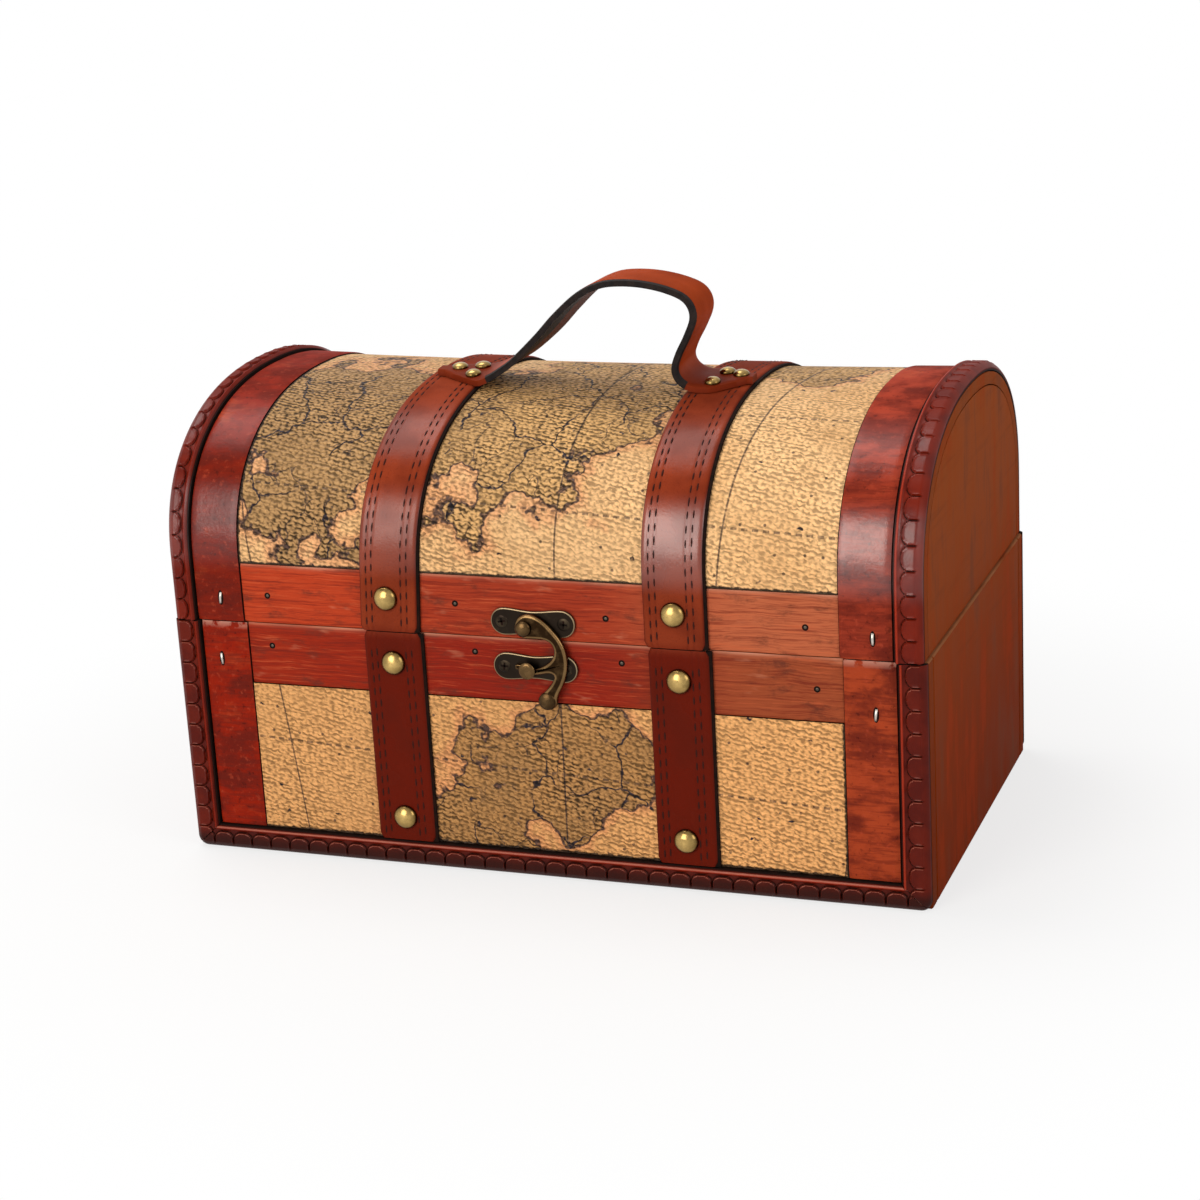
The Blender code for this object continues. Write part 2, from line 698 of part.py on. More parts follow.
def latch_plate_outline():
    """A plate with round ends and a slightly narrower waist."""
    radius = LATCH_PLATE_HEIGHT / 2
    reach = LATCH_PLATE_LENGTH / 2 - radius
    outline = []
    for way in (1, -1):
        for step in range(SMALL_SIDES // 2 + 1):
            angle = math.pi * (step / (SMALL_SIDES // 2) - 1 / 2)
            outline.append((way * (reach + radius * math.cos(angle)), way * radius * math.sin(angle)))
        for step in range(1, WAIST_STEPS):
            share = 1 - 2 * step / WAIST_STEPS
            draw_in = (1 - LATCH_PLATE_WAIST_SHARE) * (1 + math.cos(math.pi * share)) / 2
            outline.append((way * reach * share, way * radius * (1 - draw_in)))
    return outline


def make_latch_plate(name, height):
    """One of the latch's two plates on the front."""
    middle = -(HALF_DEPTH + LATCH_PLATE_INNER + LATCH_PLATE_THICKNESS / 2)
    place = (LATCH_CENTRE, middle, height)
    return flat_piece(
        name, latch_plate_outline(), LATCH_PLATE_THICKNESS, place, TURN_TO_FRONT, "aged_bronze"
    )


def add_latch_screws(prefix, height, plate, boards):
    """Two flat-headed screws through a latch plate, sunk in it, into what is under it."""
    face = -(HALF_DEPTH + LATCH_PLATE_OUTER)
    radius = LATCH_SCREW_SHANK_RADIUS + FIT_GAP
    depth = LATCH_SCREW_LENGTH + FIT_GAP
    for hand, way in SIDES:
        name = f"{prefix}_{hand}"
        place = (LATCH_CENTRE + way * LATCH_SCREW_SPREAD, face, height)
        turned_piece(name, screw_profile(0), place, TURN_TO_FRONT, "aged_bronze", SMALL_SIDES)
        sink = turned_piece(
            name + "_sink", screw_profile(FIT_GAP), place, TURN_TO_FRONT, "aged_bronze", SMALL_SIDES
        )
        boolean(plate, as_helper(sink), "DIFFERENCE")
        drill(name, radius, depth, place, TURN_TO_FRONT, boards)


def make_latch(lid_rail, shell):
    """The latch on the lid: its plate, its pivot rivet and its swinging arm."""
    plate = make_latch_plate("latch_plate", LATCH_PLATE_MIDDLE)
    add_latch_screws("latch_screw", LATCH_PLATE_MIDDLE, plate, (lid_rail, shell))

    pivot_face = -(HALF_DEPTH + ARM_OUTER + FIT_GAP)
    pivot_place = (PIVOT_X, pivot_face, PIVOT_HEIGHT)
    shank = ARM_OUTER + FIT_GAP - LATCH_PLATE_INNER
    profile = dome_profile(PIVOT_HEAD_RADIUS, PIVOT_HEAD_HEIGHT, 0)
    profile += [(PIVOT_RADIUS, 0), (PIVOT_RADIUS, -shank), (0, -shank)]
    turned_piece("latch_pivot", profile, pivot_place, TURN_TO_FRONT, "aged_bronze", ROUND_SIDES)

    outline = [(x * ARM_LENGTH, z * ARM_LENGTH) for x, z in ARM_OUTLINE_SHARES]
    arm_middle = -(HALF_DEPTH + ARM_INNER + ARM_THICKNESS / 2)
    arm_place = (PIVOT_X, arm_middle, PIVOT_HEIGHT)
    arm = flat_piece("latch_arm", outline, ARM_THICKNESS, arm_place, TURN_TO_FRONT, "aged_bronze")

    hole_radius = PIVOT_RADIUS + PIVOT_CLEARANCE
    hole = [(0, CUT_OVERRUN), (hole_radius, CUT_OVERRUN)]
    hole += [(hole_radius, -shank - CUT_OVERRUN), (0, -shank - CUT_OVERRUN)]
    bore = turned_piece(
        "latch_pivot_bore", hole, pivot_place, TURN_TO_FRONT, "aged_bronze", ROUND_SIDES
    )
    as_helper(bore)
    for piece in (plate, arm):
        boolean(piece, bore, "DIFFERENCE")


def make_catch(panel, rail):
    """The catch on the case: a plate with a neck that carries a round head in front of the arm's tip."""
    plate = make_latch_plate("catch_plate", CATCH_PLATE_MIDDLE)
    head_x = PIVOT_X + CATCH_HEAD_SHARES[0] * ARM_LENGTH
    head_height = PIVOT_HEIGHT + CATCH_HEAD_SHARES[1] * ARM_LENGTH
    head_inner = HALF_DEPTH + ARM_OUTER + FIT_GAP
    profile = [
        (0, CATCH_HEAD_THICKNESS),
        (CATCH_HEAD_RADIUS, CATCH_HEAD_THICKNESS),
        (CATCH_HEAD_RADIUS, 0),
        (0, 0),
    ]
    place = (head_x, -head_inner, head_height)
    head = turned_piece("catch_head", profile, place, TURN_TO_FRONT, "aged_bronze", ROUND_SIDES)
    neck_x = PIVOT_X + CATCH_NECK_SHARES[0] * ARM_LENGTH
    neck_height = PIVOT_HEIGHT + CATCH_NECK_SHARES[1] * ARM_LENGTH
    half = Vector((CATCH_NECK_WIDTH / 2, 0, CATCH_NECK_HEIGHT / 2))
    back_end = -(HALF_DEPTH + LATCH_PLATE_OUTER - LATCH_PLATE_THICKNESS / 2)
    front_end = -(head_inner + CATCH_HEAD_THICKNESS / 2)
    low = Vector((neck_x, front_end, neck_height)) - half
    high = Vector((neck_x, back_end, neck_height)) + half
    neck = add_piece("catch_neck", block_mesh("catch_neck", low, high), "aged_bronze")
    neck.location = (low + high) / 2
    for helper in (neck, head):
        boolean(plate, as_helper(helper), "UNION")
    add_latch_screws("catch_screw", CATCH_PLATE_MIDDLE, plate, (rail, panel))


def hinge_leaf_outline(way, tabs):
    """A hinge leaf whose tabs, given as spans along the hinge, reach the knuckles on the seam."""
    shoulder = way * (KNUCKLE_RADIUS + FIT_GAP)
    corner = shoulder + way * FIT_GAP
    tip = way * KNUCKLE_RADIUS / 3
    far = way * HINGE_LEAF_HEIGHT
    half = HINGE_WIDTH / 2
    outline = [(-half, far), (half, far), (half, corner)]
    for left, right in reversed(tabs):
        outline += [(right, shoulder), (right, tip), (left, tip), (left, shoulder)]
    return outline + [(-half, corner)]


def hinge_tube(name, x, length, radius, finish="aged_bronze"):
    """A round bar on the hinge axis, as a helper."""
    profile = [(0, length / 2), (radius, length / 2), (radius, -length / 2), (0, -length / 2)]
    place = (x, HINGE_AXIS, SEAM_HEIGHT)
    bar = turned_piece(name, profile, place, (0, math.pi / 2, 0), finish, SMALL_SIDES)
    return as_helper(bar)


def make_hinge_leaf(name, x, way, knuckles):
    """A leaf on the back with its own knuckles round the pin."""
    half = (KNUCKLE_LENGTH - FIT_GAP) / 2
    tab_half = half - FIT_GAP
    tabs = [(centre - tab_half, centre + tab_half) for centre in knuckles]
    middle = HALF_DEPTH + HINGE_LEAF_INNER + HINGE_LEAF_THICKNESS / 2
    leaf = flat_piece(
        name, hinge_leaf_outline(way, tabs), HINGE_LEAF_THICKNESS,
        (x, middle, SEAM_HEIGHT), TURN_TO_FRONT, "aged_bronze",
    )
    for number, centre in enumerate(knuckles, 1):
        knuckle = hinge_tube(f"{name}_knuckle_{number}", x + centre, 2 * half, KNUCKLE_RADIUS)
        boolean(leaf, knuckle, "UNION")
    bore_length = HINGE_WIDTH + 2 * CUT_OVERRUN
    bore_radius = HINGE_PIN_RADIUS + HINGE_PIN_CLEARANCE
    boolean(leaf, hinge_tube(f"{name}_bore", x, bore_length, bore_radius), "DIFFERENCE")


def make_hinges():
    """Two hinges on the back, whose pins lie on the axis that the lid turns about."""
    for hand, way in SIDES:
        x = way * HINGE_PLACE
        make_hinge_leaf(f"hinge_lower_leaf_{hand}", x, -1, (-KNUCKLE_LENGTH, KNUCKLE_LENGTH))
        make_hinge_leaf(f"hinge_upper_leaf_{hand}", x, 1, (0,))
        end = HINGE_WIDTH / 2 + FIT_GAP
        cap = end + HINGE_PIN_HEAD_LENGTH
        profile = [
            (0, cap),
            (HINGE_PIN_HEAD_RADIUS, cap),
            (HINGE_PIN_HEAD_RADIUS, end),
            (HINGE_PIN_RADIUS, end),
            (HINGE_PIN_RADIUS, -end),
            (HINGE_PIN_HEAD_RADIUS, -end),
            (HINGE_PIN_HEAD_RADIUS, -cap),
            (0, -cap),
        ]
        place = (x, HINGE_AXIS, SEAM_HEIGHT)
        turn = (0, math.pi / 2, 0)
        turned_piece(f"hinge_pin_{hand}", profile, place, turn, "aged_bronze", SMALL_SIDES)


def parent_to_axis(name, place, pieces, parent=None):
    """An empty on a joint's axis that carries the pieces which turn about it."""
    axis = bpy.data.objects.new(name, None)
    PARTS.objects.link(axis)
    axis.location = place
    bpy.context.view_layer.update()
    for piece in pieces:
        piece.parent = axis
        piece.matrix_parent_inverse = Matrix.Translation(place).inverted()
    if parent:
        axis.parent = parent
        axis.matrix_parent_inverse = parent.matrix_world.inverted()
    return axis


def make_joint_axes():
    """Hangs the lid's pieces on the hinge axis, and the latch arm on its pivot."""
    moving = ("lid_", "handle", "latch_", "hinge_upper", "hinge_pin")
    arm = PARTS.objects["latch_arm"]
    lid = [piece for piece in PARTS.objects if piece.name.startswith(moving) and piece != arm]
    hinge_axis = parent_to_axis("lid_hinge_axis", (0, HINGE_AXIS, SEAM_HEIGHT), lid)
    arm_face = -(HALF_DEPTH + ARM_INNER)
    parent_to_axis("latch_pivot_axis", (PIVOT_X, arm_face, PIVOT_HEIGHT), [arm], hinge_axis)


def make_suitcase_box():
    """Every piece of the box, from the boards outwards."""
    panels = make_base_boards()
    front_cover, front_rail = make_base_coverings("front", FRONT)
    make_base_coverings("back", BACK)
    make_base_trims("front", FRONT)
    make_base_trims("back", BACK)
    make_base_straps(panels["front"], front_cover, front_rail)
    shell, cover, rails, straps = make_lid()
    handle = make_handle()
    make_handle_studs(handle, straps, cover, shell)
    make_latch(rails["front"], shell)
    make_catch(panels["front"], front_rail)
    make_hinges()
    make_joint_axes()


make_suitcase_box()
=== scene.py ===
import contextlib
import functools
import random
from math import asin, atan2, copysign, cos, dist, exp, log, pi, radians, sin

import bmesh
import bpy
from mathutils import Matrix, Vector


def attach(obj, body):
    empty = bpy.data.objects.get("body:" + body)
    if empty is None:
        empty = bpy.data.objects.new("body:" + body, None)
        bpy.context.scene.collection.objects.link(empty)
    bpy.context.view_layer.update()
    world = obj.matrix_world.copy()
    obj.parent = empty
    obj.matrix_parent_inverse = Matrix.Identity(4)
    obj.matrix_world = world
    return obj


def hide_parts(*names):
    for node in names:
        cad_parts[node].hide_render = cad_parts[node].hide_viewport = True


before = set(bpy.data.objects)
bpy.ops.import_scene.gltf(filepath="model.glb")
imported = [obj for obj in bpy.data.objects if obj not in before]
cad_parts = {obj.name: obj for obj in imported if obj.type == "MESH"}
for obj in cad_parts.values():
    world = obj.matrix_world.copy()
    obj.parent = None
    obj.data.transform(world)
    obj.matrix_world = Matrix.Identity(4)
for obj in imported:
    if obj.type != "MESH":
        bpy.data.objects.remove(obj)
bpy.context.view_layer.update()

MM = 0.001

# The same sizes as the solids have, in metres
HALF_WIDTH = 0.125
HALF_DEPTH = 0.0695
SEAM = 0.0795
BASE_TOP = 0.07935
LID_FOOT = 0.07965
RAIL_TOP = 0.09905
RAIL_FOOT = 0.05895
SPRING = 0.10005
ARCH_RISE = 0.048
ARCH_SAG = 0.0014
ARCH_POWER = log(1 / 2) / log(0.74)
LID_SHIFT = -0.001
LID_LEFT_TUCK = 0.0014
TRIM_EDGE = 0.1158
BOTTOM_TRIM = 0.0083
BAND_OUTER_EDGE = 0.1155
BAND_INNER_EDGE = 0.0993
SKIN_EDGE = 0.0990
SKIN_FOOT = 0.0086
STRAP_PLACE = 0.0477
STRAP_WIDTH = 0.0194
LEFT_LEAN = 0.0045

# The UV map is in metres, with the case far under the lid and the lid's rails moved up by a rail
UV_DROP, UV_RAIL = 0.1, 0.0205

# How far each layer reaches out from the boards
COVER_GAP = 0.0003
SKIN_IN, SKIN_OUT = 0.0003, 0.0011
BAND_OUT = 0.0017
TRIM_OUT = 0.0035
STRAP_IN, STRAP_OUT = 0.0014, 0.0026
PLATE_IN, PLATE_OUT = 0.0014, 0.0023
ARM_IN, ARM_OUT = 0.0026, 0.0042

SIDES = (("left", -1), ("right", 1))
WALLS = (("front", -1), ("back", 1))


# ---------- meshes ----------

def make_mesh(name, verts, faces, smooth=True):
    mesh = bpy.data.meshes.new(name)
    mesh.from_pydata([tuple(v) for v in verts], [], faces)
    mesh.update()
    if smooth:
        mesh.shade_smooth()
    return mesh


def add(mesh, body, slot, replaces, *paints):
    """Makes the mesh's object, which has the mesh's name."""
    piece = bpy.data.objects.new(mesh.name, mesh)
    bpy.context.scene.collection.objects.link(piece)
    for paint in paints:
        mesh.materials.append(paint)
    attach(piece, body)
    if replaces:
        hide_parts(*replaces)


@contextlib.contextmanager
def opened(mesh):
    shape = bmesh.new()
    shape.from_mesh(mesh)
    yield shape
    shape.to_mesh(mesh)
    shape.free()


def outward(mesh):
    with opened(mesh) as shape:
        bmesh.ops.recalc_face_normals(shape, faces=shape.faces)


def sharpen(mesh, degrees=50):
    """Marks the mesh's sharp edges, so that smooth shading stops there."""
    with opened(mesh) as shape:
        for edge in shape.edges:
            if len(edge.link_faces) == 2 and edge.calc_face_angle(0) > radians(degrees):
                edge.smooth = False


def set_wear(mesh, values):
    """How rubbed each point is, which the materials read."""
    mesh.attributes.new("wear", "FLOAT", "POINT").data.foreach_set("value", values)


def fall(gap, reach):
    """1 at no gap, and falling off over about this reach."""
    return exp(-gap / reach)


def hump(value, reach):
    return exp(-(value / reach) ** 2)


ARCH_STEPS = 240


def arch_rise(x):
    return ARCH_RISE - ARCH_SAG * (1 - ((x - LID_SHIFT) / HALF_WIDTH) ** 2)


def arch_height(x, y, offset):
    share = min(1, abs(y) / (HALF_DEPTH + offset))
    return SPRING + (arch_rise(x) + offset) * (1 - share**ARCH_POWER) ** (1 / ARCH_POWER)


def arch_points(x, offset, foot, steps):
    """Evenly spaced points (y, z, length) over the lid from its front foot to its back foot."""
    rise = arch_rise(x) + offset
    reach = HALF_DEPTH + offset
    power = 2 / ARCH_POWER
    start = asin(((foot - SPRING) / rise) ** (1 / power)) if foot > SPRING else 0
    raw = []
    for step in range(ARCH_STEPS + 1):
        angle = start + (pi - 2 * start) * step / ARCH_STEPS
        across = copysign(abs(cos(angle)) ** power, cos(angle))
        raw.append((-reach * across, SPRING + rise * max(0, sin(angle)) ** power))
    if foot < SPRING:
        raw = [(-reach, foot), *raw, (reach, foot)]
    lengths = [0]
    for first, second in zip(raw, raw[1:]):
        lengths.append(lengths[-1] + dist(first, second))
    points = []
    number = 0
    for step in range(steps + 1):
        want = lengths[-1] * step / steps
        while number < len(raw) - 2 and lengths[number + 1] < want:
            number += 1
        span = lengths[number + 1] - lengths[number]
        share = 0 if span == 0 else (want - lengths[number]) / span
        y, z = (a + (b - a) * share for a, b in zip(raw[number], raw[number + 1]))
        points.append((y, z, want))
    return points


def arch_normals(points):
    normals = []
    for number in range(len(points)):
        before = points[max(0, number - 1)]
        after = points[min(len(points) - 1, number + 1)]
        along = Vector((after[0] - before[0], after[1] - before[1])).normalized()
        normals.append((-along.y, along.x))
    return normals


def skin(name, columns, rows, top_at, under_at):
    """A sheet with a top, an underside and edges. Both calls take the shares across and along:
    top_at gives a point, its place in the UV map in metres and its wear, and under_at a point."""
    wide = columns + 1
    places = [(column / columns, row / rows) for row in range(rows + 1) for column in range(wide)]
    tops = [top_at(*place) for place in places]
    below = len(tops)
    verts = [top[0] for top in tops] + [under_at(*place) for place in places]
    uvs = [top[1] for top in tops] * 2
    faces, kinds = [], []
    for row in range(rows):
        for column in range(columns):
            a = row * wide + column
            b, c, d = a + 1, a + 1 + wide, a + wide
            faces += [(a, b, c, d), (d + below, c + below, b + below, a + below)]
            kinds += [0, 1]
    last = rows * wide
    border = [*range(wide), *range(wide + columns, last + wide, wide)]
    border += [*range(last + columns - 1, last - 1, -1), *range(last - wide, 0, -wide)]
    for first, second in zip(border, border[1:] + border[:1]):
        faces.append((second, first, first + below, second + below))
        kinds.append(1)
    mesh = make_mesh(name, verts, faces)
    layer = mesh.uv_layers.new(name="length")
    for polygon, kind in zip(mesh.polygons, kinds):
        polygon.material_index = kind
        for loop in polygon.loop_indices:
            layer.data[loop].uv = uvs[mesh.loops[loop].vertex_index]
    set_wear(mesh, [top[2] for top in tops] + [0] * below)
    outward(mesh)
    sharpen(mesh)
    return mesh


def plain_shape(across, along, length):
    return 0, 1, 0


def layer_skin(name, inner, outer, columns, rows, spot, length_at, shape):
    """A skin between two offsets. spot(across, along, offset, draw) gives a point and its place
    along. shape(across, along, length) gives how far the top is let down, the share of its width
    that the skin keeps there, and its wear."""

    def top_at(across, along):
        down, draw, wear = shape(across, along, length_at(across))
        point, place = spot(across, along, outer - down, draw)
        return point, (point.x, place), wear

    def under_at(across, along):
        draw = shape(across, along, length_at(across))[1]
        return spot(across, along, inner, draw)[0]

    return skin(name, columns, rows, top_at, under_at)


def lid_skin(name, left, right, inner, outer, foot, columns, rows, shape=plain_shape, lean=0):
    """A layer over the lid, from its front foot to its back foot. It leans by lean on the crown."""
    routes = {}
    middle = (left + right) / 2 + LID_SHIFT

    def route(across):
        key = round(across, 4)
        if key not in routes:
            x = left + (right - left) * across + LID_SHIFT
            points = arch_points(x, inner, foot, rows)
            routes[key] = (x, points, arch_normals(points))
        return routes[key]

    def spot(across, along, offset, draw):
        x, points, normals = route(across)
        number = round(along * rows)
        y, z, length = points[number]
        ny, nz = normals[number]
        lift = offset - inner
        x = middle + (x - middle) * draw + lean * sin(pi * along)
        return Vector((x, y + ny * lift, z + nz * lift)), length

    def length_at(across):
        return route(across)[1][-1][2]

    return layer_skin(name, inner, outer, columns, rows, spot, length_at, shape)


def flat_skin(name, left, right, foot, top, inner, outer, side, columns, rows, shape=plain_shape):
    """A layer on the case's flat front or back."""
    middle = (left + right) / 2

    def spot(across, along, offset, draw):
        x = middle + (left + (right - left) * across - middle) * draw
        point = Vector((x, side * (HALF_DEPTH + offset), foot + (top - foot) * along))
        return point, point.z - UV_DROP

    return layer_skin(name, inner, outer, columns, rows, spot, lambda across: top - foot, shape)


def ring_faces(rings, size, closed=True):
    """The faces between rings of this many points each."""
    faces = []
    for ring in range(rings - 1):
        for number in range(size if closed else size - 1):
            a, b = ring * size + number, ring * size + (number + 1) % size
            faces.append((a, b, b + size, a + size))
    return faces


def lathe(profile, sides, matrix):
    """Vertices and faces of a turned shape. Its profile (radius, height) runs from the top down."""
    verts, faces, before = [], [], []
    for radius, height in profile:
        count = 1 if radius == 0 else sides
        ring = range(len(verts), len(verts) + count)
        for number in range(count):
            angle = 2 * pi * number / count
            verts.append(matrix @ Vector((radius * cos(angle), radius * sin(angle), height)))
        for number in range(sides if before else 0):
            a, b = (before[place % len(before)] for place in (number, number + 1))
            d, c = (ring[place % count] for place in (number, number + 1))
            face = tuple(dict.fromkeys((a, d, c, b)))
            if len(face) > 2:
                faces.append(face)
        before = ring
    return verts, faces


def join(parts):
    verts, faces = [], []
    for some_verts, some_faces in parts:
        start = len(verts)
        verts += some_verts
        faces += [tuple(start + number for number in face) for face in some_faces]
    return verts, faces


def to_front(x, offset, z, side=-1):
    """A matrix whose Z points out of the front (or back) at this place."""
    turn = Matrix.Rotation(pi / 2 * -side, 4, "X")
    return Matrix.Translation((x, side * (HALF_DEPTH + offset), z)) @ turn


def rounded_plate(outline, high, rounding, steps=3):
    """A flat piece with a rounded upper edge, from an anticlockwise outline, and its wear."""
    count = len(outline)
    inward = []
    for number in range(count):
        before, here, after = outline[number - 1], outline[number], outline[(number + 1) % count]
        first = Vector((here[0] - before[0], here[1] - before[1])).normalized()
        second = Vector((after[0] - here[0], after[1] - here[1])).normalized()
        normal = Vector((-(first.y + second.y), first.x + second.x)).normalized()
        inward.append(normal / max(0.5, normal.dot(Vector((-first.y, first.x)))))
    rings = [(0, 0, 0.2), (0, high - rounding, 0.4)]
    for step in range(1, steps + 1):
        angle = pi / 2 * step / steps
        rings.append((rounding * (1 - cos(angle)), high - rounding * (1 - sin(angle)), 1))
    rings.append((rounding * 1.35, high, 0))
    verts, wear = [], []
    for inset, height, rub in rings:
        for (x, y), way in zip(outline, inward):
            verts.append(Vector((x + way.x * inset, y + way.y * inset, height)))
            wear.append(rub)
    faces = ring_faces(len(rings), count)
    faces.append(tuple(range(len(verts) - count, len(verts))))
    faces.append(tuple(reversed(range(count))))
    return verts, faces, wear


def curve(points, steps):
    """Points on a smooth curve through all these points but the first and the last."""
    route = []
    for before, first, second, after in zip(points, points[1:], points[2:], points[3:]):
        for step in range(steps):
            t = step / steps
            route.append(0.5 * (2 * first + (second - before) * t
                                + (2 * before - 5 * first + 4 * second - after) * t**2
                                + (3 * first - before - 3 * second + after) * t**3))
    return route


# ---------- materials ----------

def folded(operation):
    """A call that works through its values from left to right."""
    return lambda nodes, *values: functools.reduce(functools.partial(nodes.math, operation), values)


class Nodes:
    """Short calls for the nodes of one tree. Colours are linear, in thousandths."""

    def __init__(self, tree):
        self.tree = tree

    def put(self, value, socket):
        if isinstance(value, bpy.types.NodeSocket):
            self.tree.links.new(value, socket)
        elif isinstance(value, tuple) and len(socket.default_value) == 4:
            socket.default_value = (*(share / 1000 for share in value), 1)
        else:
            socket.default_value = value

    def node(self, kind, inputs=(), **settings):
        """A new node. inputs gives values for its sockets, by name or number."""
        node = self.tree.nodes.new("ShaderNode" + kind)
        for key, value in settings.items():
            setattr(node, key, value)
        for key, value in dict(inputs).items():
            self.put(value, node.inputs[key])
        return node

    def math(self, operation, *values):
        return self.node("Math", enumerate(values), operation=operation).outputs[0]

    add, minus, times, over, most, least, above, below = map(folded, (
        "ADD", "SUBTRACT", "MULTIPLY", "DIVIDE", "MAXIMUM", "MINIMUM", "GREATER_THAN", "LESS_THAN"))

    def size(self, value):
        return self.math("ABSOLUTE", value)

    def fract(self, value):
        return self.math("FRACT", value)

    def place(self):
        return self.node("TexCoord").outputs["Object"]

    def step(self, value, low, high, to_low=0.0, to_high=1.0):
        """Rises smoothly from to_low to to_high as value goes from low to high."""
        values = enumerate((value, low, high, to_low, to_high))
        return self.node("MapRange", values, interpolation_type="SMOOTHSTEP").outputs[0]

    def vmath(self, operation, *values):
        node = self.node("VectorMath", enumerate(values), operation=operation)
        return node.outputs[1 if operation == "LENGTH" else 0]

    def seen(self):
        """1 for the rays that show the background: from the camera, reflected or let through."""
        rays = self.node("LightPath").outputs
        return self.most(*(rays[f"Is {kind} Ray"] for kind in ("Camera", "Glossy", "Transmission")))


class Paint(Nodes):
    """One material."""

    def __init__(self, name, roughness=0.5, metallic=0.0, specular=0.5):
        self.material = bpy.data.materials.new(name)
        self.material.use_nodes = True
        super().__init__(self.material.node_tree)
        self.shader = self.tree.nodes["Principled BSDF"]
        self.shader.inputs["Roughness"].default_value = roughness
        self.shader.inputs["Metallic"].default_value = metallic
        self.shader.inputs["Specular IOR Level"].default_value = specular
        self.normal = None

    def lengths(self):
        """The UV map's lengths over the object, in millimetres."""
        return self.scale(self.node("UVMap", uv_map="length").outputs["UV"], 1000)

    def wear(self):
        return self.node("Attribute", attribute_name="wear").outputs["Fac"]

    def up(self):
        """How far the surface faces up."""
        return self.split(self.node("NewGeometry").outputs["Normal"])[2]

    def split(self, vector):
        return self.node("SeparateXYZ", {0: vector}).outputs

    def vector(self, *values):
        return self.node("CombineXYZ", enumerate(values)).outputs[0]

    def scale(self, vector, factor):
        return self.node("VectorMath", {0: vector, "Scale": factor}, operation="SCALE").outputs[0]

    def stretch(self, vector, x, y, z=1.0):
        return self.vmath("MULTIPLY", vector, (x, y, z))

    def moved(self, vector, x, y):
        return self.vmath("ADD", vector, (x, y, 0))

    def noise(self, vector, scale, detail=3.0, roughness=0.5, distortion=0.0, output="Fac"):
        inputs = {"Vector": vector, "Scale": scale, "Detail": detail,
                  "Roughness": roughness, "Distortion": distortion}
        return self.node("TexNoise", inputs).outputs[output]

    def sway(self, vector, scale, detail, reach):
        """A random shift that changes smoothly, of up to half of reach each way."""
        colour = self.noise(vector, scale, detail, output="Color")
        return self.scale(self.vmath("SUBTRACT", colour, (0.5, 0.5, 0.5)), reach)

    def cells(self, vector, scale, feature="F1", randomness=1.0):
        inputs = {"Vector": vector, "Scale": scale, "Randomness": randomness}
        return self.node("TexVoronoi", inputs, feature=feature, voronoi_dimensions="2D").outputs

    def mix(self, factor, a, b, blend="MIX"):
        inputs = {0: factor, 6: a, 7: b}
        return self.node("Mix", inputs, data_type="RGBA", blend_type=blend).outputs[2]

    def layers(self, base, *rows):
        """Lays each row's colour over base where the row's value is on its ramp."""
        for colour, value, *ramp in rows:
            base = self.mix(self.step(value, *ramp), base, colour)
        return base

    def colour(self, value):
        self.put(value, self.shader.inputs["Base Color"])

    def rough(self, value):
        self.put(value, self.shader.inputs["Roughness"])

    def gloss(self, z, low, front, crown):
        """Polish rubbed up on the lid's slope and shoulder, with little below and on the crown."""
        slope = self.times(self.step(z, 0.096, 0.104), self.step(z, 0.119, 0.128, 1.0, 0.0))
        shoulder = self.times(self.step(z, 0.130, 0.135), self.step(z, 0.140, 0.147, 1.0, 0.0))
        total = self.add(self.times(slope, front), self.times(shoulder, crown), low)
        self.put(total, self.shader.inputs["Specular IOR Level"])

    def bump(self, height, distance, strength=1.0):
        """Relief on top of the relief so far."""
        node = self.node("Bump", {"Strength": strength, "Distance": distance, "Height": height})
        if self.normal:
            self.put(self.normal, node.inputs["Normal"])
        self.normal = node.outputs[0]
        self.put(self.normal, self.shader.inputs["Normal"])


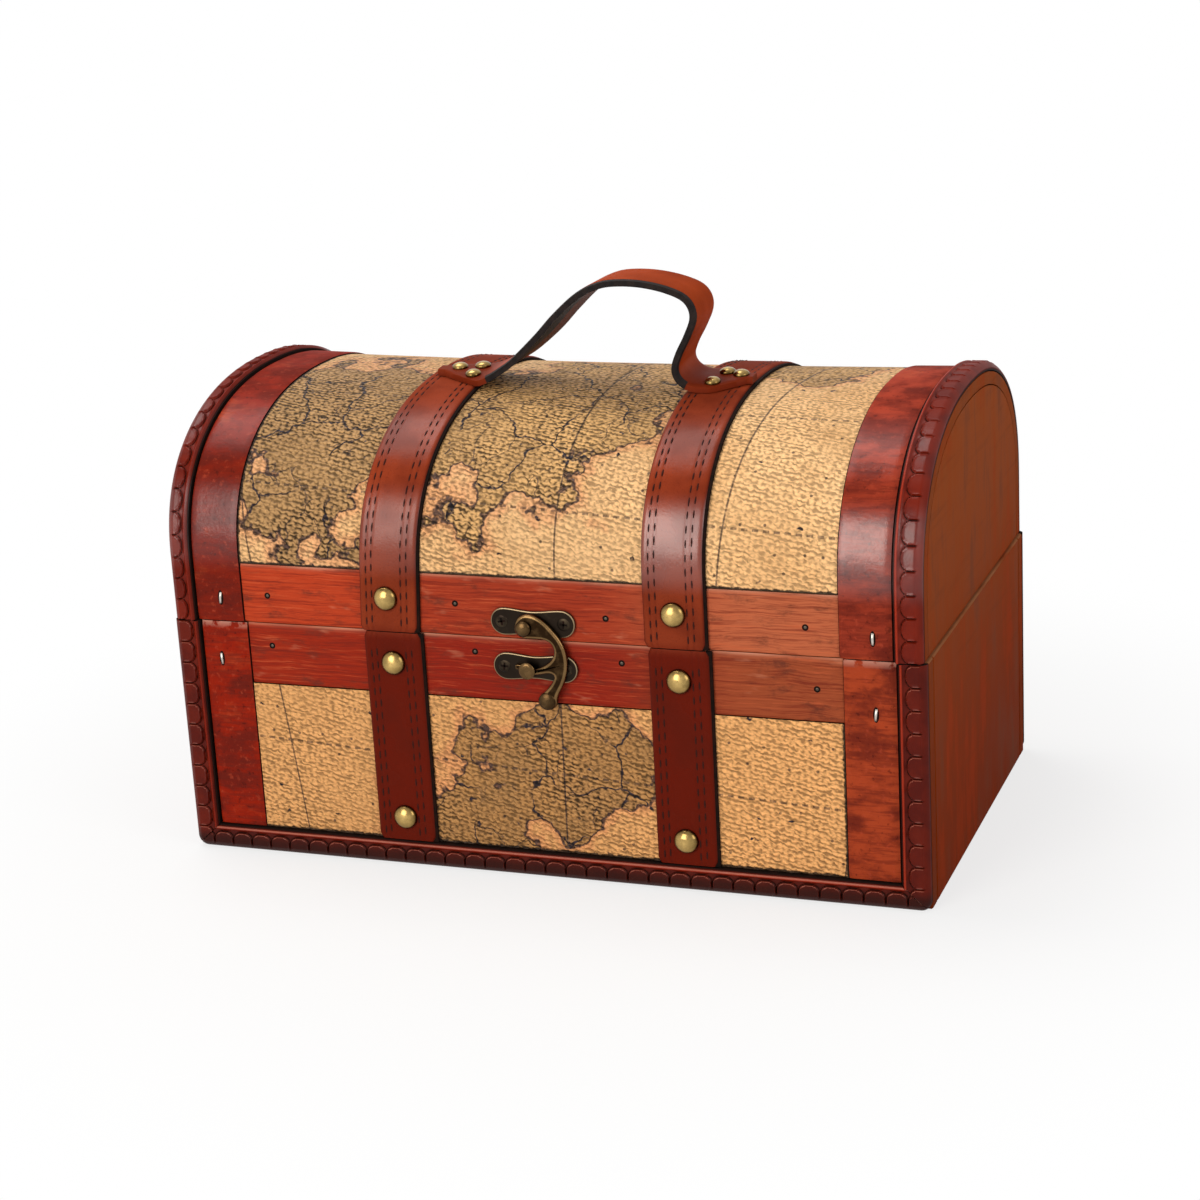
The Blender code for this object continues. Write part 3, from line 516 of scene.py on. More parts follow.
def chart_paint():
    """Pebbled leatherette with a print of a made-up old chart: coasts, rivers, lines, islets."""
    p = Paint("printed_chart", roughness=0.55, specular=0.14)
    mm = p.lengths()
    x, y, _ = p.split(mm)

    # Land: blobs with a ragged coast, and lid, which is 0 on the case
    field = None
    for cx, cy, rx, ry in ((-76, 54, 29, 54), (-14, 62, 47, 42), (10, 98, 34, 26),
                           (6, -62, 34, 22), (-28, -90, 26, 22), (70, 120, 26, 30)):
        spot = p.vector(p.over(p.minus(x, cx), rx), p.over(p.minus(y, cy), ry))
        blob = p.minus(1, p.vmath("LENGTH", spot))
        field = p.most(field, blob) if field else blob
    coast = p.noise(mm, 0.045, 4.0, 0.52)
    field = p.add(field, p.times(p.minus(coast, 0.52), 2.2))
    land = p.step(field, -0.02, 0.02)
    lid = p.step(y, -30, -10)

    # Grounds, each in a darker tone on the case as painted shade
    warm = p.noise(mm, 0.02, 3.0)
    cream = p.mix(p.step(warm, 0.3, 0.7), (780, 475, 225), (710, 400, 170))
    cream = p.mix(lid, (660, 330, 120), cream)
    stain = p.noise(p.moved(mm, 300, 40), 0.05, 4.0, 0.6)
    cream = p.layers(cream, ((500, 250, 85), stain, 0.5, 0.78, 0, 0.45))
    olive = p.mix(p.step(x, -70, 0), (390, 220, 88), (570, 325, 125))
    olive = p.mix(lid, (380, 188, 62), olive)
    olive = p.layers(olive, ((240, 130, 50), stain, 0.35, 0.6, 0.4, 0))
    ground = p.mix(land, cream, olive)
    tint = p.times(p.step(field, -0.25, -0.03), p.step(field, -0.01, 0.03, 1, 0), 0.45)
    ground = p.mix(tint, ground, (640, 230, 100))

    # Ink: the coast's line, rivers and their arms
    line = p.step(p.size(field), 0.012, 0.045, 0.9, 0)
    bent = p.vmath("ADD", mm, p.sway(mm, 0.06, 4.0, 26))
    edge = p.cells(bent, 0.042, "DISTANCE_TO_EDGE")["Distance"]
    gate = p.step(p.noise(mm, 0.035, 1), 0.38, 0.44)
    river = p.times(p.step(edge, 0.01, 0.026, 1, 0), land, gate)
    edge = p.cells(p.moved(bent, 70, 30), 0.085, "DISTANCE_TO_EDGE")["Distance"]
    gate = p.step(p.noise(mm, 0.06, 1), 0.52, 0.56)
    arm = p.times(p.step(edge, 0.012, 0.035, 0.75, 0), gate, land)

    # Ink: a net of dashed rows and curved columns
    slope = p.add(y, p.times(x, 0.05))
    row = p.size(p.minus(p.fract(p.over(slope, 43)), 0.5))
    dash = p.step(p.fract(p.over(x, 3.4)), 0.55, 0.62, 1, 0)
    row = p.times(p.step(row, 0.006, 0.013, 0.7, 0), dash)
    fan = p.add(x, p.times(y, p.times(x, -0.0016)))
    column = p.size(p.minus(p.fract(p.add(p.over(fan, 52), 0.34)), 0.5))
    column = p.step(column, 0.0035, 0.008, 0.8, 0)

    # Ink: islets and dots, each in some of the cells
    cell = p.cells(mm, 0.062)
    local = p.vmath("SUBTRACT", mm, cell["Position"])
    shaken = p.stretch(p.vmath("ADD", local, p.sway(mm, 0.45, 1, 3.4)), 0.6, 1.05)
    picked = p.below(p.split(cell["Color"])[0], 0.62)
    islet = p.times(p.step(p.vmath("LENGTH", shaken), 0.45, 0.75, 1, 0), picked)
    other = p.moved(mm, 41, 17)
    cell = p.cells(other, 0.13)
    reach = p.vmath("LENGTH", p.vmath("SUBTRACT", other, cell["Position"]))
    picked = p.above(p.split(cell["Color"])[1], 0.62)
    dot = p.times(p.step(reach, 0.35, 0.6, 1, 0), picked, 0.8)
    faded = p.step(p.noise(mm, 0.9, 2.0), 0.28, 0.5, 0.5, 1)
    ink = p.times(p.most(line, river, arm, row, column, islet, dot), faded)
    ground = p.mix(ink, ground, (22, 15, 20))

    # Grain: pebbles in slanting wavy ridges. Painted light on the ridges and painted shade in the
    # hollows, deeper on the land's print; the cream is also lighter towards the right, as painted
    # light
    along, across, _ = p.split(p.vmath("ADD", mm, p.sway(mm, 0.6, 1, 1.3)))
    across = p.add(across, p.times(along, 0.25))
    pebble = p.cells(p.stretch(p.vector(along, across, 0), 0.52, 0.74), 1, "F1", 0.7)["Distance"]
    pebble = p.step(pebble, 0.05, 0.75, 1, 0)
    slip = p.times(p.noise(p.stretch(mm, 0.6, 0.6), 1, 1), 7.0)
    phase = p.add(p.times(across, 4.0), pebble, slip)
    ridge = p.add(p.times(p.math("SINE", phase), 0.5), 0.5)
    grain = p.add(p.times(ridge, 0.45), p.times(pebble, 0.55))
    light_and_shade_cream = p.times(p.step(grain, 0.05, 0.85, 0.46, 1.27), p.step(x, 0, 70, 1, 1.16))
    light_and_shade_land = p.step(grain, 0.05, 0.85, 0.13, 1.5)
    shade = p.add(p.times(light_and_shade_cream, p.minus(1, land)), p.times(light_and_shade_land, land))
    # How much of the painted light and shade goes into the colour, at random
    light_and_shade_share = p.step(p.noise(mm, 0.03, 2.0), 0.35, 0.6, 0.6, 1)
    shaded = p.mix(1, ground, p.vector(shade, shade, shade), "MULTIPLY")
    ground = p.mix(light_and_shade_share, ground, shaded)

    # A dark frayed edge all round, which is also painted shade where the cover meets the rails and
    # the bands
    side = p.minus(99.6, p.size(p.add(x, 0.5)))
    foot = p.least(p.size(y), p.size(p.add(y, 91.4)))
    frayed_and_shaded_edge = p.add(p.least(side, foot), p.times(p.noise(mm, 0.6, 3.0), -1.6))
    p.colour(p.layers(ground, ((12, 7, 5), frayed_and_shaded_edge, -0.4, 0.2, 0.95, 0)))
    p.rough(p.step(grain, 0.1, 0.8, 0.72, 0.45))
    p.bump(grain, 0.0006)
    p.bump(p.noise(mm, 1.6, 2.0), 0.00008, 0.8)
    return p.material


def rail_paint():
    """Red-stained wood with fine grain along X, redder at the left and browner at the right."""
    p = Paint("red_stained_rail", roughness=0.45, specular=0.06)
    mm = p.lengths()
    x, y, _ = p.split(mm)
    lid = p.above(y, -1.0)
    left = p.mix(lid, (280, 19, 5), (430, 44, 12))
    middle = p.mix(lid, (240, 14, 5), (320, 35, 12))
    right = p.mix(lid, (300, 62, 22), (460, 115, 48))
    base = p.mix(p.step(x, -70, -20), left, middle)
    wavy = p.vmath("ADD", mm, p.stretch(p.sway(mm, 0.06, 2.0, 2.4), 0, 1))
    streak = p.noise(p.stretch(wavy, 0.03, 0.8), 1, 4.0, 0.65, 0.3)
    fine = p.noise(p.stretch(wavy, 0.04, 1.6), 1, 3.0, 0.65)
    smudge = p.noise(p.stretch(mm, 0.07, 0.16), 1, 5.0, 0.7)
    pale = p.noise(p.stretch(p.moved(mm, 90, 9), 0.06, 0.2), 1, 3.0, 0.6)
    base = p.layers(base, (right, x, 15, 75),
                    ((120, 12, 7), streak, 0.5, 0.68, 0, 0.5),
                    ((600, 115, 40), fine, 0.3, 0.46, 0.4, 0),
                    ((150, 14, 8), fine, 0.5, 0.66, 0, 0.6),
                    ((85, 22, 14), smudge, 0.52, 0.72, 0, 0.75),
                    ((720, 300, 170), pale, 0.6, 0.8, 0, 0.35))
    p.colour(p.mix(p.wear(), base, (620, 260, 160)))
    p.rough(p.step(fine, 0.3, 0.7, 0.42, 0.6))
    p.bump(streak, 0.00016, 0.8)
    p.bump(fine, 0.0001, 0.8)
    return p.material


def band_paint():
    """Mottled glossy leatherette, maroon at the left and redder at the right and below, and lighter
    on the lid's shoulder as a painted highlight.
    """
    p = Paint("band_leatherette", roughness=0.3)
    place = p.place()
    x, _, z = p.split(place)
    to_lid = p.step(z, 0.074, 0.084)
    right = p.mix(to_lid, (360, 50, 15), (270, 32, 14))
    left = p.mix(to_lid, (260, 13, 3), (180, 13, 5))
    cloud = p.noise(p.stretch(place, 60, 60, 110), 1, 4.0, 0.6)
    brushed = p.noise(p.stretch(place, 90, 90, 900), 1, 3.0, 0.6)
    fleck = p.noise(place, 420, 3.0, 0.65)
    base = p.layers(left, (right, x, -0.05, 0.05),
                    ((95, 10, 6), cloud, 0.42, 0.62, 0, 0.75),
                    ((420, 70, 22), cloud, 0.28, 0.42, 0.3, 0))
    # Painted highlight: half as light again on the lid's shoulder
    base = p.layers(base, (p.scale(base, 1.5), z, 0.126, 0.142),
                    ((110, 12, 7), brushed, 0.45, 0.65, 0, 0.5),
                    ((420, 60, 26), fleck, 0.56, 0.74, 0, 0.45),
                    ((50, 6, 4), fleck, 0.28, 0.42, 0.6, 0))
    rub = p.times(p.wear(), p.step(p.noise(place, 300, 3.0, 0.6), 0.42, 0.55, 0, 0.7))
    p.colour(p.mix(rub, base, (550, 270, 200)))
    p.rough(p.add(p.step(cloud, 0.3, 0.7, 0, 0.12), p.step(z, 0.14, 0.148, 0.2, 0.6)))
    p.gloss(z, 0.04, p.step(x, -0.05, 0.05, 0.3, 0.65), p.step(x, -0.05, 0.05, 0.06, 0.1))
    p.bump(p.noise(place, 900, 3.0, 0.6), 0.00009, 0.7)
    p.bump(cloud, 0.0003, 0.25)
    return p.material


def trim_paint():
    """Dark red embossed edging, nearly black in its grooves and crease and towards the floor as
    painted shade, rubbed on its rims, and with a painted highlight on the rims that face up on the
    case.
    """
    p = Paint("embossed_edging", roughness=0.3)
    place = p.place()
    x, _, z = p.split(place)
    wear = p.wear()
    tone = p.noise(place, 120, 3.0)
    base = p.mix(p.step(tone, 0.35, 0.65), (115, 8, 3), (170, 13, 4))
    base = p.mix(p.step(z, 0.079, 0.08), p.scale(base, 0.68), base)
    bead = p.mix(p.step(x, -0.1, 0.1), (200, 13, 4), (360, 30, 10))
    # Painted shade: near black towards the floor; then the bead's colour
    base = p.layers(base, ((25, 5, 3), z, 0.003, 0.0075, 0.85, 0),
                    (bead, wear, 0.5, 0.75, 0, 0.85))
    rub = p.times(p.step(wear, 0.88, 1), p.step(p.noise(place, 400, 3.0), 0.35, 0.55), 0.55)
    base = p.mix(rub, base, (620, 200, 120))
    # Painted highlight on the rims that face up, on the case only
    case = p.step(z, 0.0788, 0.0792, 0.75, 0)
    upper = p.times(p.step(wear, 0.4, 0.52), p.step(p.up(), 0.2, 0.6), case)
    base = p.mix(upper, base, (480, 150, 100))
    # Painted shade: near black where the wear value is low, in the crease and the grooves
    p.colour(p.layers(base, ((8, 3, 2), wear, 0.08, 0.32, 0.96, 0)))
    p.rough(p.most(p.step(wear, 0.15, 0.4, 0.85, 0.27), p.step(z, 0.14, 0.148, 0, 0.55)))
    p.gloss(z, 0.1, 0.35, 0.08)
    p.bump(p.noise(place, 1100, 2.0), 0.00005, 0.6)
    return p.material


def leather_paint(name, base, low, dark, light, split, crown, roughness, specular, lift=1.0):
    """Smooth finished leather with fine pores: low under the height split, lighter by lift on the
    lid's slope as a painted highlight, darker at its dyed edges and with painted shade in its
    stitch grooves, and dull over the height crown."""
    p = Paint(name, roughness=roughness)
    place = p.place()
    x, _, z = p.split(place)
    upper = p.step(z, split - 0.003, split + 0.003)
    tone = p.mix(upper, low, base)
    cloud = p.noise(place, 55, 3.0)
    # Painted highlight: lighter by lift on the lid's slope
    tone = p.layers(tone, (p.scale(tone, lift), z, 0.11, 0.13), (dark, cloud, 0.4, 0.7, 0, 0.55))
    tone = p.mix(p.times(p.step(p.noise(place, 23, 2.0), 0.5, 0.75, 0, 0.45), upper), tone, light)
    pore = p.noise(place, 1500, 3.0, 0.6)
    # Darker where the wear value is high: dyed edges, and painted shade in the stitch grooves
    p.colour(p.layers(tone, (dark, pore, 0.25, 0.45, 0.4, 0), (dark, p.wear(), 0, 1, 0, 0.8)))
    dull = p.step(z, crown - 0.006, crown, roughness, 0.62)
    p.rough(p.add(p.step(cloud, 0.3, 0.7, 0, 0.1), dull))
    p.gloss(z, 0.04, p.step(x, -0.03, 0.03, specular * 0.5, specular), specular * 0.15)
    p.bump(pore, 0.00006, 0.7)
    p.bump(p.noise(place, 240, 3.0), 0.00014, 0.4)
    return p.material


def plain_paint(name, base, dark, scale, roughness, bump, specular):
    """A dull surface in two close tones."""
    p = Paint(name, roughness=roughness, specular=specular)
    place = p.place()
    p.colour(p.layers(base, (dark, p.noise(place, scale, 4.0, 0.6), 0.35, 0.7)))
    p.bump(p.noise(place, scale * 6, 3.0), bump, 0.6)
    return p.material


def board_paint(name, upper, lower, dark, roughness, specular=0.08, smudge=0.35):
    """A stained board, lighter towards the top as painted light: soft vertical smudges, faint grain
    along Y, a rubbed pale top edge.
    """
    p = Paint(name, roughness=roughness, specular=specular)
    place = p.place()
    z = p.split(place)[2]
    drift = p.noise(p.stretch(place, 20, 70, 16), 1, 4.0, 0.6)
    grain = p.noise(p.stretch(place, 400, 26, 380), 1, 3.0, 0.6, 0.5)
    # Painted light: from the lower colour at the foot to the upper one towards the top
    base = p.layers(lower, (upper, z, 0.01, 0.15),
                    ((340, 40, 10), drift, 0.48, 0.66, 0, 0.5),
                    (dark, drift, 0.3, 0.46, smudge, 0),
                    (dark, grain, 0.5, 0.8, 0, 0.3))
    rub = p.times(p.step(z, 0.0786, 0.079), p.step(z, 0.08, 0.0804, 1, 0),
                  p.step(p.size(p.up()), 0.4, 0.8),
                  p.step(p.noise(place, 30, 3.0), 0.35, 0.6, 0.2, 0.9))
    p.colour(p.mix(rub, base, (360, 150, 65)))
    p.rough(p.step(drift, 0.3, 0.7, roughness - 0.04, roughness + 0.12))
    p.bump(grain, 0.00006, 0.5)
    return p.material


def metal_paint(name, bright, dull, roughness, patina_share=0.4):
    """Cast metal with a patina: bright on rubbed edges, dull in the flats."""
    p = Paint(name, roughness=roughness, metallic=1.0)
    place = p.place()
    patina = p.noise(place, 260, 4.0, 0.65)
    mask = p.add(p.times(p.wear(), 0.75), p.step(patina, 0.35, 0.75, -0.1, patina_share))
    p.colour(p.mix(p.least(p.most(mask, 0), 1), dull, bright))
    p.rough(p.step(patina, 0.3, 0.7, roughness - 0.06, roughness + 0.12))
    p.bump(p.noise(place, 1400, 2.0), 0.00003, 0.5)
    return p.material


CHART = chart_paint()
RAIL = rail_paint()
BAND = band_paint()
TRIM = trim_paint()
STRAP = leather_paint("strap_leather", (220, 32, 10), (115, 8, 2),
                      (85, 8, 3), (270, 42, 13), SEAM, 0.147, 0.22, 0.65, 1.3)
HANDLE = leather_paint("handle_leather", (380, 48, 6), (150, 17, 5),
                       (200, 26, 6), (470, 78, 12), 0.1535, 0.16, 0.45, 0.1)
LINING = plain_paint("handle_edge", (8, 6, 6), (20, 13, 11), 300, 0.6, 0.00004, 0.1)
UNDERSIDE = plain_paint("handle_underside", (130, 26, 10), (90, 18, 8),
                        60, 0.6, 0.00003, 0.1)
# Near-black for the sheets' undersides and cut edges, and painted shade where it shows in gaps,
# slots and dents
DARK = plain_paint("dark_edge", (6, 4, 3), (16, 6, 4), 400, 0.8, 0.00004, 0.05)
THREAD = plain_paint("thread", (35, 7, 4), (18, 4, 3), 900, 0.6, 0.00004, 0.1)
END_BOARD = board_paint("end_board", (280, 60, 11), (185, 23, 2),
                        (130, 32, 8), 0.55, 0.006, 0.6)
SHELL_EDGE = board_paint("shell_edge", (250, 56, 13), (170, 23, 3),
                         (100, 28, 8), 0.6, 0.006)
INNER = board_paint("inner_board", (420, 190, 85), (380, 160, 70), (220, 80, 35), 0.6)
BRASS = metal_paint("bright_brass", (840, 570, 200), (55, 28, 7), 0.2, 0.15)
BRONZE = metal_paint("aged_bronze", (230, 135, 55), (24, 12, 5), 0.24, 0.2)
BLACKENED = metal_paint("blackened_bronze", (380, 280, 160), (20, 14, 10), 0.34, 0.02)
STEEL = metal_paint("staple_steel", (700, 670, 610), (350, 310, 260), 0.3)
NAIL = metal_paint("dull_nail", (160, 130, 100), (50, 40, 30), 0.45)


# ---------- coverings ----------

mesh = lid_skin("chart_lid", -SKIN_EDGE, SKIN_EDGE, SKIN_IN, SKIN_OUT, RAIL_TOP + COVER_GAP,
                24, 110)
add(mesh, "lid", "printed_cover", ("lid_cover",), CHART, DARK)
for word, side in WALLS:
    mesh = flat_skin(f"chart_{word}", -SKIN_EDGE, SKIN_EDGE, SKIN_FOOT, RAIL_FOOT - COVER_GAP,
                     SKIN_IN, SKIN_OUT, side, 24, 8)
    add(mesh, "base", "printed_cover", (f"base_{word}_cover",), CHART, DARK)


def rail_shape(seed):
    """Rounded edges, a slightly uneven face, and wear in patches along the top edge."""
    rand = random.Random(seed)
    waves = [(rand.uniform(0, 6.3), rand.uniform(3, 9)) for _ in range(3)]

    def shape(across, along, height):
        edge = min(along, 1 - along) * height
        side = min(across, 1 - across) * 2 * SKIN_EDGE
        ripple = sum(sin(phase + across * 6.28 * turns) for phase, turns in waves) / 3
        down = 0.00028 * fall(edge, 0.0004) + 0.00022 * fall(side, 0.0006)
        down += 0.00006 * (1 + ripple)
        wear = 0.0
        if along > 0.5:
            wear = fall((1 - along) * height, 0.00045) * (0.55 + 0.45 * ripple)
        return down, 1, max(0, wear)

    return shape


RAILS = (("lid", "lid", LID_FOOT, RAIL_TOP, LID_SHIFT, UV_RAIL),
         ("case", "base", RAIL_FOOT, BASE_TOP, 0, 0))
for number, (word, side) in enumerate(WALLS):
    for name, body, foot, top, shift, lift in RAILS:
        shape = rail_shape(number * 2 + (body == "lid"))
        mesh = flat_skin(f"{name}_rail_{word}", shift - SKIN_EDGE, shift + SKIN_EDGE, foot, top,
                         SKIN_IN, SKIN_OUT, side, 60, 24, shape)
        for item in mesh.uv_layers["length"].data:
            item.uv = (item.uv[0], item.uv[1] + lift)
        add(mesh, body, "stained_rail", (f"{body}_{word}_rail",), RAIL, RAIL)


def band_shape(across, along, length):
    side = min(across, 1 - across) * (BAND_OUTER_EDGE - BAND_INNER_EDGE)
    end = min(along, 1 - along) * length
    down = 0.0003 * fall(side, 0.0005) + 0.0003 * fall(end, 0.0005)
    return down, 1, fall((1 - along) * length, 0.00016)


for hand, way in SIDES:
    left, right = sorted((way * BAND_INNER_EDGE, way * BAND_OUTER_EDGE))
    mesh = lid_skin(f"band_lid_{hand}", left, right, SKIN_IN, BAND_OUT, LID_FOOT, 14, 120,
                    band_shape)
    add(mesh, "lid", "band_leather", (f"lid_band_{hand}",), BAND, DARK)
    for word, side in WALLS:
        mesh = flat_skin(f"band_{word}_{hand}", left, right, SKIN_FOOT, BASE_TOP,
                         SKIN_IN, BAND_OUT, side, 14, 30, band_shape)
        add(mesh, "base", "band_leather", (f"base_band_{word}_{hand}",), BAND, DARK)


# ---------- embossed edging ----------

# Millimetres from the inner edge: the crease, and the middle and the end of the bead
CREASE, BEAD, BEAD_END = 0.35, 1.15, 2.1
COIN = 5.2
OUTER_ROLL = 2.3
DEEPEST = 0.0031
LID_COINS, UPRIGHT_COINS, BOTTOM_COINS = 33, 11, 36
ROWS_PER_COIN = 16
MITRE_TOP = 0.0092


def boss_shape(inner_first, width, count):
    """A bead along the inner edge, then a row of D-shaped coins with grooves round them. The wear
    value is also painted shade: low in the crease and the grooves, which the edging paints near
    black.
    """
    total = width / MM

    def shape(across, along, length):
        place = (across if inner_first else 1 - across) * total
        phase = along * count
        t = phase % 1 * 2 - 1
        d = abs(t / 0.97) ** 2.4
        if place < COIN:
            d += ((COIN - place) / 2.7) ** 2.2
        lip = hump(d - 0.78, 0.14)
        coin = 1 - min(1, max(0, (d - 0.84) / 0.16))
        # Low wear in the crease and the notches stands for painted shade
        if place < CREASE:
            height, wear = 0.05, 0.05
        elif place < BEAD_END:
            bead = hump(place - BEAD, 0.42)
            height, wear = 0.45 + 0.55 * bead, 0.36 + 0.45 * bead
        else:
            notch = max(0, 1 - abs(d - 1.12) / 0.22)
            height = 0.42 + 0.42 * coin + 0.15 * lip - 0.34 * notch
            wear = 0.37 + 0.05 * coin + 0.17 * lip - 0.40 * notch
        rolled = max(0, place - (total - OUTER_ROLL))
        fade = min(1, rolled / 0.9)
        height = height * (1 - fade) + 0.66 * fade
        wear = wear * (1 - fade) + 0.30 * fade
        roll = 1.7 * (rolled / OUTER_ROLL) ** 2.2
        return min(((1 - height) * 1.25 + roll) * MM, DEEPEST), 1, wear

    return shape


def darken_wall(mesh, way, axis="x"):
    """The wall beside the inner edge is near-black, as painted shade in the gap beside the band,
    and the outer one is part of the leather.
    """
    for polygon in mesh.polygons:
        if polygon.material_index == 1 and getattr(polygon.normal, axis) * way > 0.2:
            polygon.material_index = 0


def round_corner(place, radius=0.0035):
    """Draws a point in, so that the front's lower corners are round."""
    side = 1 if place.x > 0 else -1
    middle = Vector((HALF_WIDTH - radius, radius))
    spot = Vector((abs(place.x), place.z)) - middle
    if spot.x > 0 and spot.y < 0 and spot.length > 0:
        spot = spot.normalized() * max(spot.x, -spot.y)
        place.x, place.z = side * (middle.x + spot.x), middle.y + spot.y


for hand, way in SIDES:
    inner_edge = way * (TRIM_EDGE + COVER_GAP)
    outer_edge = -HALF_WIDTH + LID_LEFT_TUCK if hand == "left" else HALF_WIDTH
    left, right = sorted((inner_edge, outer_edge))
    mesh = lid_skin(f"edging_lid_{hand}", left, right, SKIN_IN, TRIM_OUT, LID_FOOT, 28,
                    LID_COINS * ROWS_PER_COIN, boss_shape(way > 0, right - left, LID_COINS))
    darken_wall(mesh, way)
    add(mesh, "lid", "trim_leather", (f"lid_trim_{hand}",), TRIM, DARK)
    left, right = sorted((inner_edge, way * HALF_WIDTH))
    for word, side in WALLS:
        mesh = flat_skin(f"edging_{word}_{hand}", left, right, COVER_GAP, BASE_TOP,
                         SKIN_IN, TRIM_OUT, side, 28, UPRIGHT_COINS * ROWS_PER_COIN,
                         boss_shape(way > 0, right - left, UPRIGHT_COINS))
        with opened(mesh) as shape:
            for vert in shape.verts:
                if vert.co.z < MITRE_TOP:
                    vert.co.z = max(vert.co.z, (HALF_WIDTH - abs(vert.co.x)) * 0.9 + COVER_GAP)
                round_corner(vert.co)
        darken_wall(mesh, way)
        add(mesh, "base", "trim_leather", (f"base_trim_{word}_{hand}",), TRIM, DARK)

bosses = boss_shape(False, BOTTOM_TRIM, BOTTOM_COINS)
for word, side in WALLS:
    mesh = flat_skin(f"edging_{word}_bottom", -HALF_WIDTH, HALF_WIDTH, 0, BOTTOM_TRIM,
                     SKIN_IN, TRIM_OUT, side, BOTTOM_COINS * ROWS_PER_COIN, 24,
                     lambda across, along, length: bosses(along, across, length))
    with opened(mesh) as shape:
        for vert in shape.verts:
            limit = HALF_WIDTH - vert.co.z * 1.1
            vert.co.x = max(-limit, min(limit, vert.co.x))
            round_corner(vert.co)
    darken_wall(mesh, -1, "z")
    add(mesh, "base", "trim_leather", (f"base_trim_{word}_bottom",), TRIM, DARK)


# ---------- straps and stitching ----------

STITCH_ROWS = (-0.0074, -0.0055, 0.0045, 0.0065)
STITCH_PITCH = 0.0043
STITCH_DASH = 0.0024
STITCH_SINK = 0.0001
FINE_STEPS = 600
STITCH_START, STITCH_SPARE, STITCH_OFFSET = 0.002, 0.003, 0.0006
THREAD_MIDDLE, THREAD_END, THREAD_POINTS = 0.0003, 0.00016, 5
TURNED_END = 0.0012
# A near-black strip beside each strap's right edge: the edge's dye, and painted shadow on the cover
EDGE_AND_SHADOW_UNDER, EDGE_AND_SHADOW_SHOWN = 0.001, 0.0009
EDGE_AND_SHADOW_LAYER = (SKIN_OUT + 0.00005, STRAP_OUT - 0.0006)


def strap_shape(across, along, length):
    x = (across - 0.5) * STRAP_WIDTH
    side = STRAP_WIDTH / 2 - abs(x)
    end = min(along, 1 - along) * length
    groove = max(hump(x - row, 0.00038) for row in STITCH_ROWS)
    down = 0.00055 * fall(side, 0.00045) + 0.0003 * fall(end, 0.0005)
    down += 0.00013 * groove
    draw = 1 - 0.07 * max(0, 1 - end / TURNED_END) ** 2
    # Its wear value darkens the leather at the edges, as dye, and in the stitch grooves, as painted
    # shade
    return down, draw, min(1, 0.45 * groove + fall(side, 0.0004))


def stitches(name, body, point_at, length):
    """Rows of dashes of thread. point_at(row, along) gives a point on the leather and its
    normal."""
    parts = []
    for row in STITCH_ROWS:
        offset = STITCH_OFFSET if row in STITCH_ROWS[1::2] else 0
        for number in range(int((length - STITCH_SPARE) / STITCH_PITCH)):
            start = STITCH_START + number * STITCH_PITCH + offset
            spots = [point_at(row, start + STITCH_DASH * step / 2) for step in range(3)]
            verts = []
            for k, (spot, normal) in enumerate(spots):
                ahead = (spots[min(2, k + 1)][0] - spots[max(0, k - 1)][0]).normalized()
                across = ahead.cross(normal).normalized()
                size = THREAD_MIDDLE if k == 1 else THREAD_END
                for j in range(THREAD_POINTS):
                    angle = pi * j / (THREAD_POINTS - 1)
                    up = normal * (size * 0.9 * sin(angle))
                    verts.append(spot + across * (size * cos(angle)) + up)
            parts.append((verts, ring_faces(3, THREAD_POINTS, closed=False)))
    add(make_mesh(name, *join(parts)), body, "strap_leather", (), THREAD)


for hand, way in SIDES:
    middle = way * STRAP_PLACE
    left, right = middle - STRAP_WIDTH / 2, middle + STRAP_WIDTH / 2
    darkened_edge = (right - EDGE_AND_SHADOW_UNDER, right + EDGE_AND_SHADOW_SHOWN)
    lean = LEFT_LEAN if hand == "left" else 0
    mesh = lid_skin(f"strap_lid_{hand}", left, right, STRAP_IN, STRAP_OUT, LID_FOOT, 40, 130,
                    strap_shape, lean)
    add(mesh, "lid", "strap_leather", (f"lid_strap_{hand}",), STRAP, DARK)
    # Near-black strip at the strap's right edge: dye, and painted shadow on the cover
    mesh = lid_skin(f"strap_edge_and_shadow_lid_{hand}", *darkened_edge, *EDGE_AND_SHADOW_LAYER, LID_FOOT, 1, 90, lean=lean)
    add(mesh, "lid", "strap_leather", (), DARK, DARK)
    fine = arch_points(middle + LID_SHIFT, STRAP_OUT - STITCH_SINK, LID_FOOT, FINE_STEPS)
    normals = arch_normals(fine)
    total = fine[-1][2]

    def on_lid(row, along):
        number = min(FINE_STEPS, round(along / total * FINE_STEPS))
        y, z, _ = fine[number]
        x = middle + LID_SHIFT + row + lean * sin(pi * (along / total))
        return Vector((x, y, z)), Vector((0, *normals[number]))

    stitches(f"stitching_lid_{hand}", "lid", on_lid, total)

    mesh = flat_skin(f"strap_front_{hand}", left, right, SKIN_FOOT, BASE_TOP, STRAP_IN, STRAP_OUT,
                     -1, 40, 40, strap_shape)
    add(mesh, "base", "strap_leather", (f"base_strap_{hand}",), STRAP, DARK)
    mesh = flat_skin(f"strap_edge_and_shadow_front_{hand}", *darkened_edge, SKIN_FOOT, BASE_TOP, *EDGE_AND_SHADOW_LAYER, -1, 1, 2)
    add(mesh, "base", "strap_leather", (), DARK, DARK)

    def on_front(row, along):
        face = -(HALF_DEPTH + STRAP_OUT - STITCH_SINK)
        return Vector((middle + row, face, SKIN_FOOT + along)), Vector((0, -1, 0))

    stitches(f"stitching_front_{hand}", "base", on_front, BASE_TOP - SKIN_FOOT)


# ---------- studs, staples and brads ----------

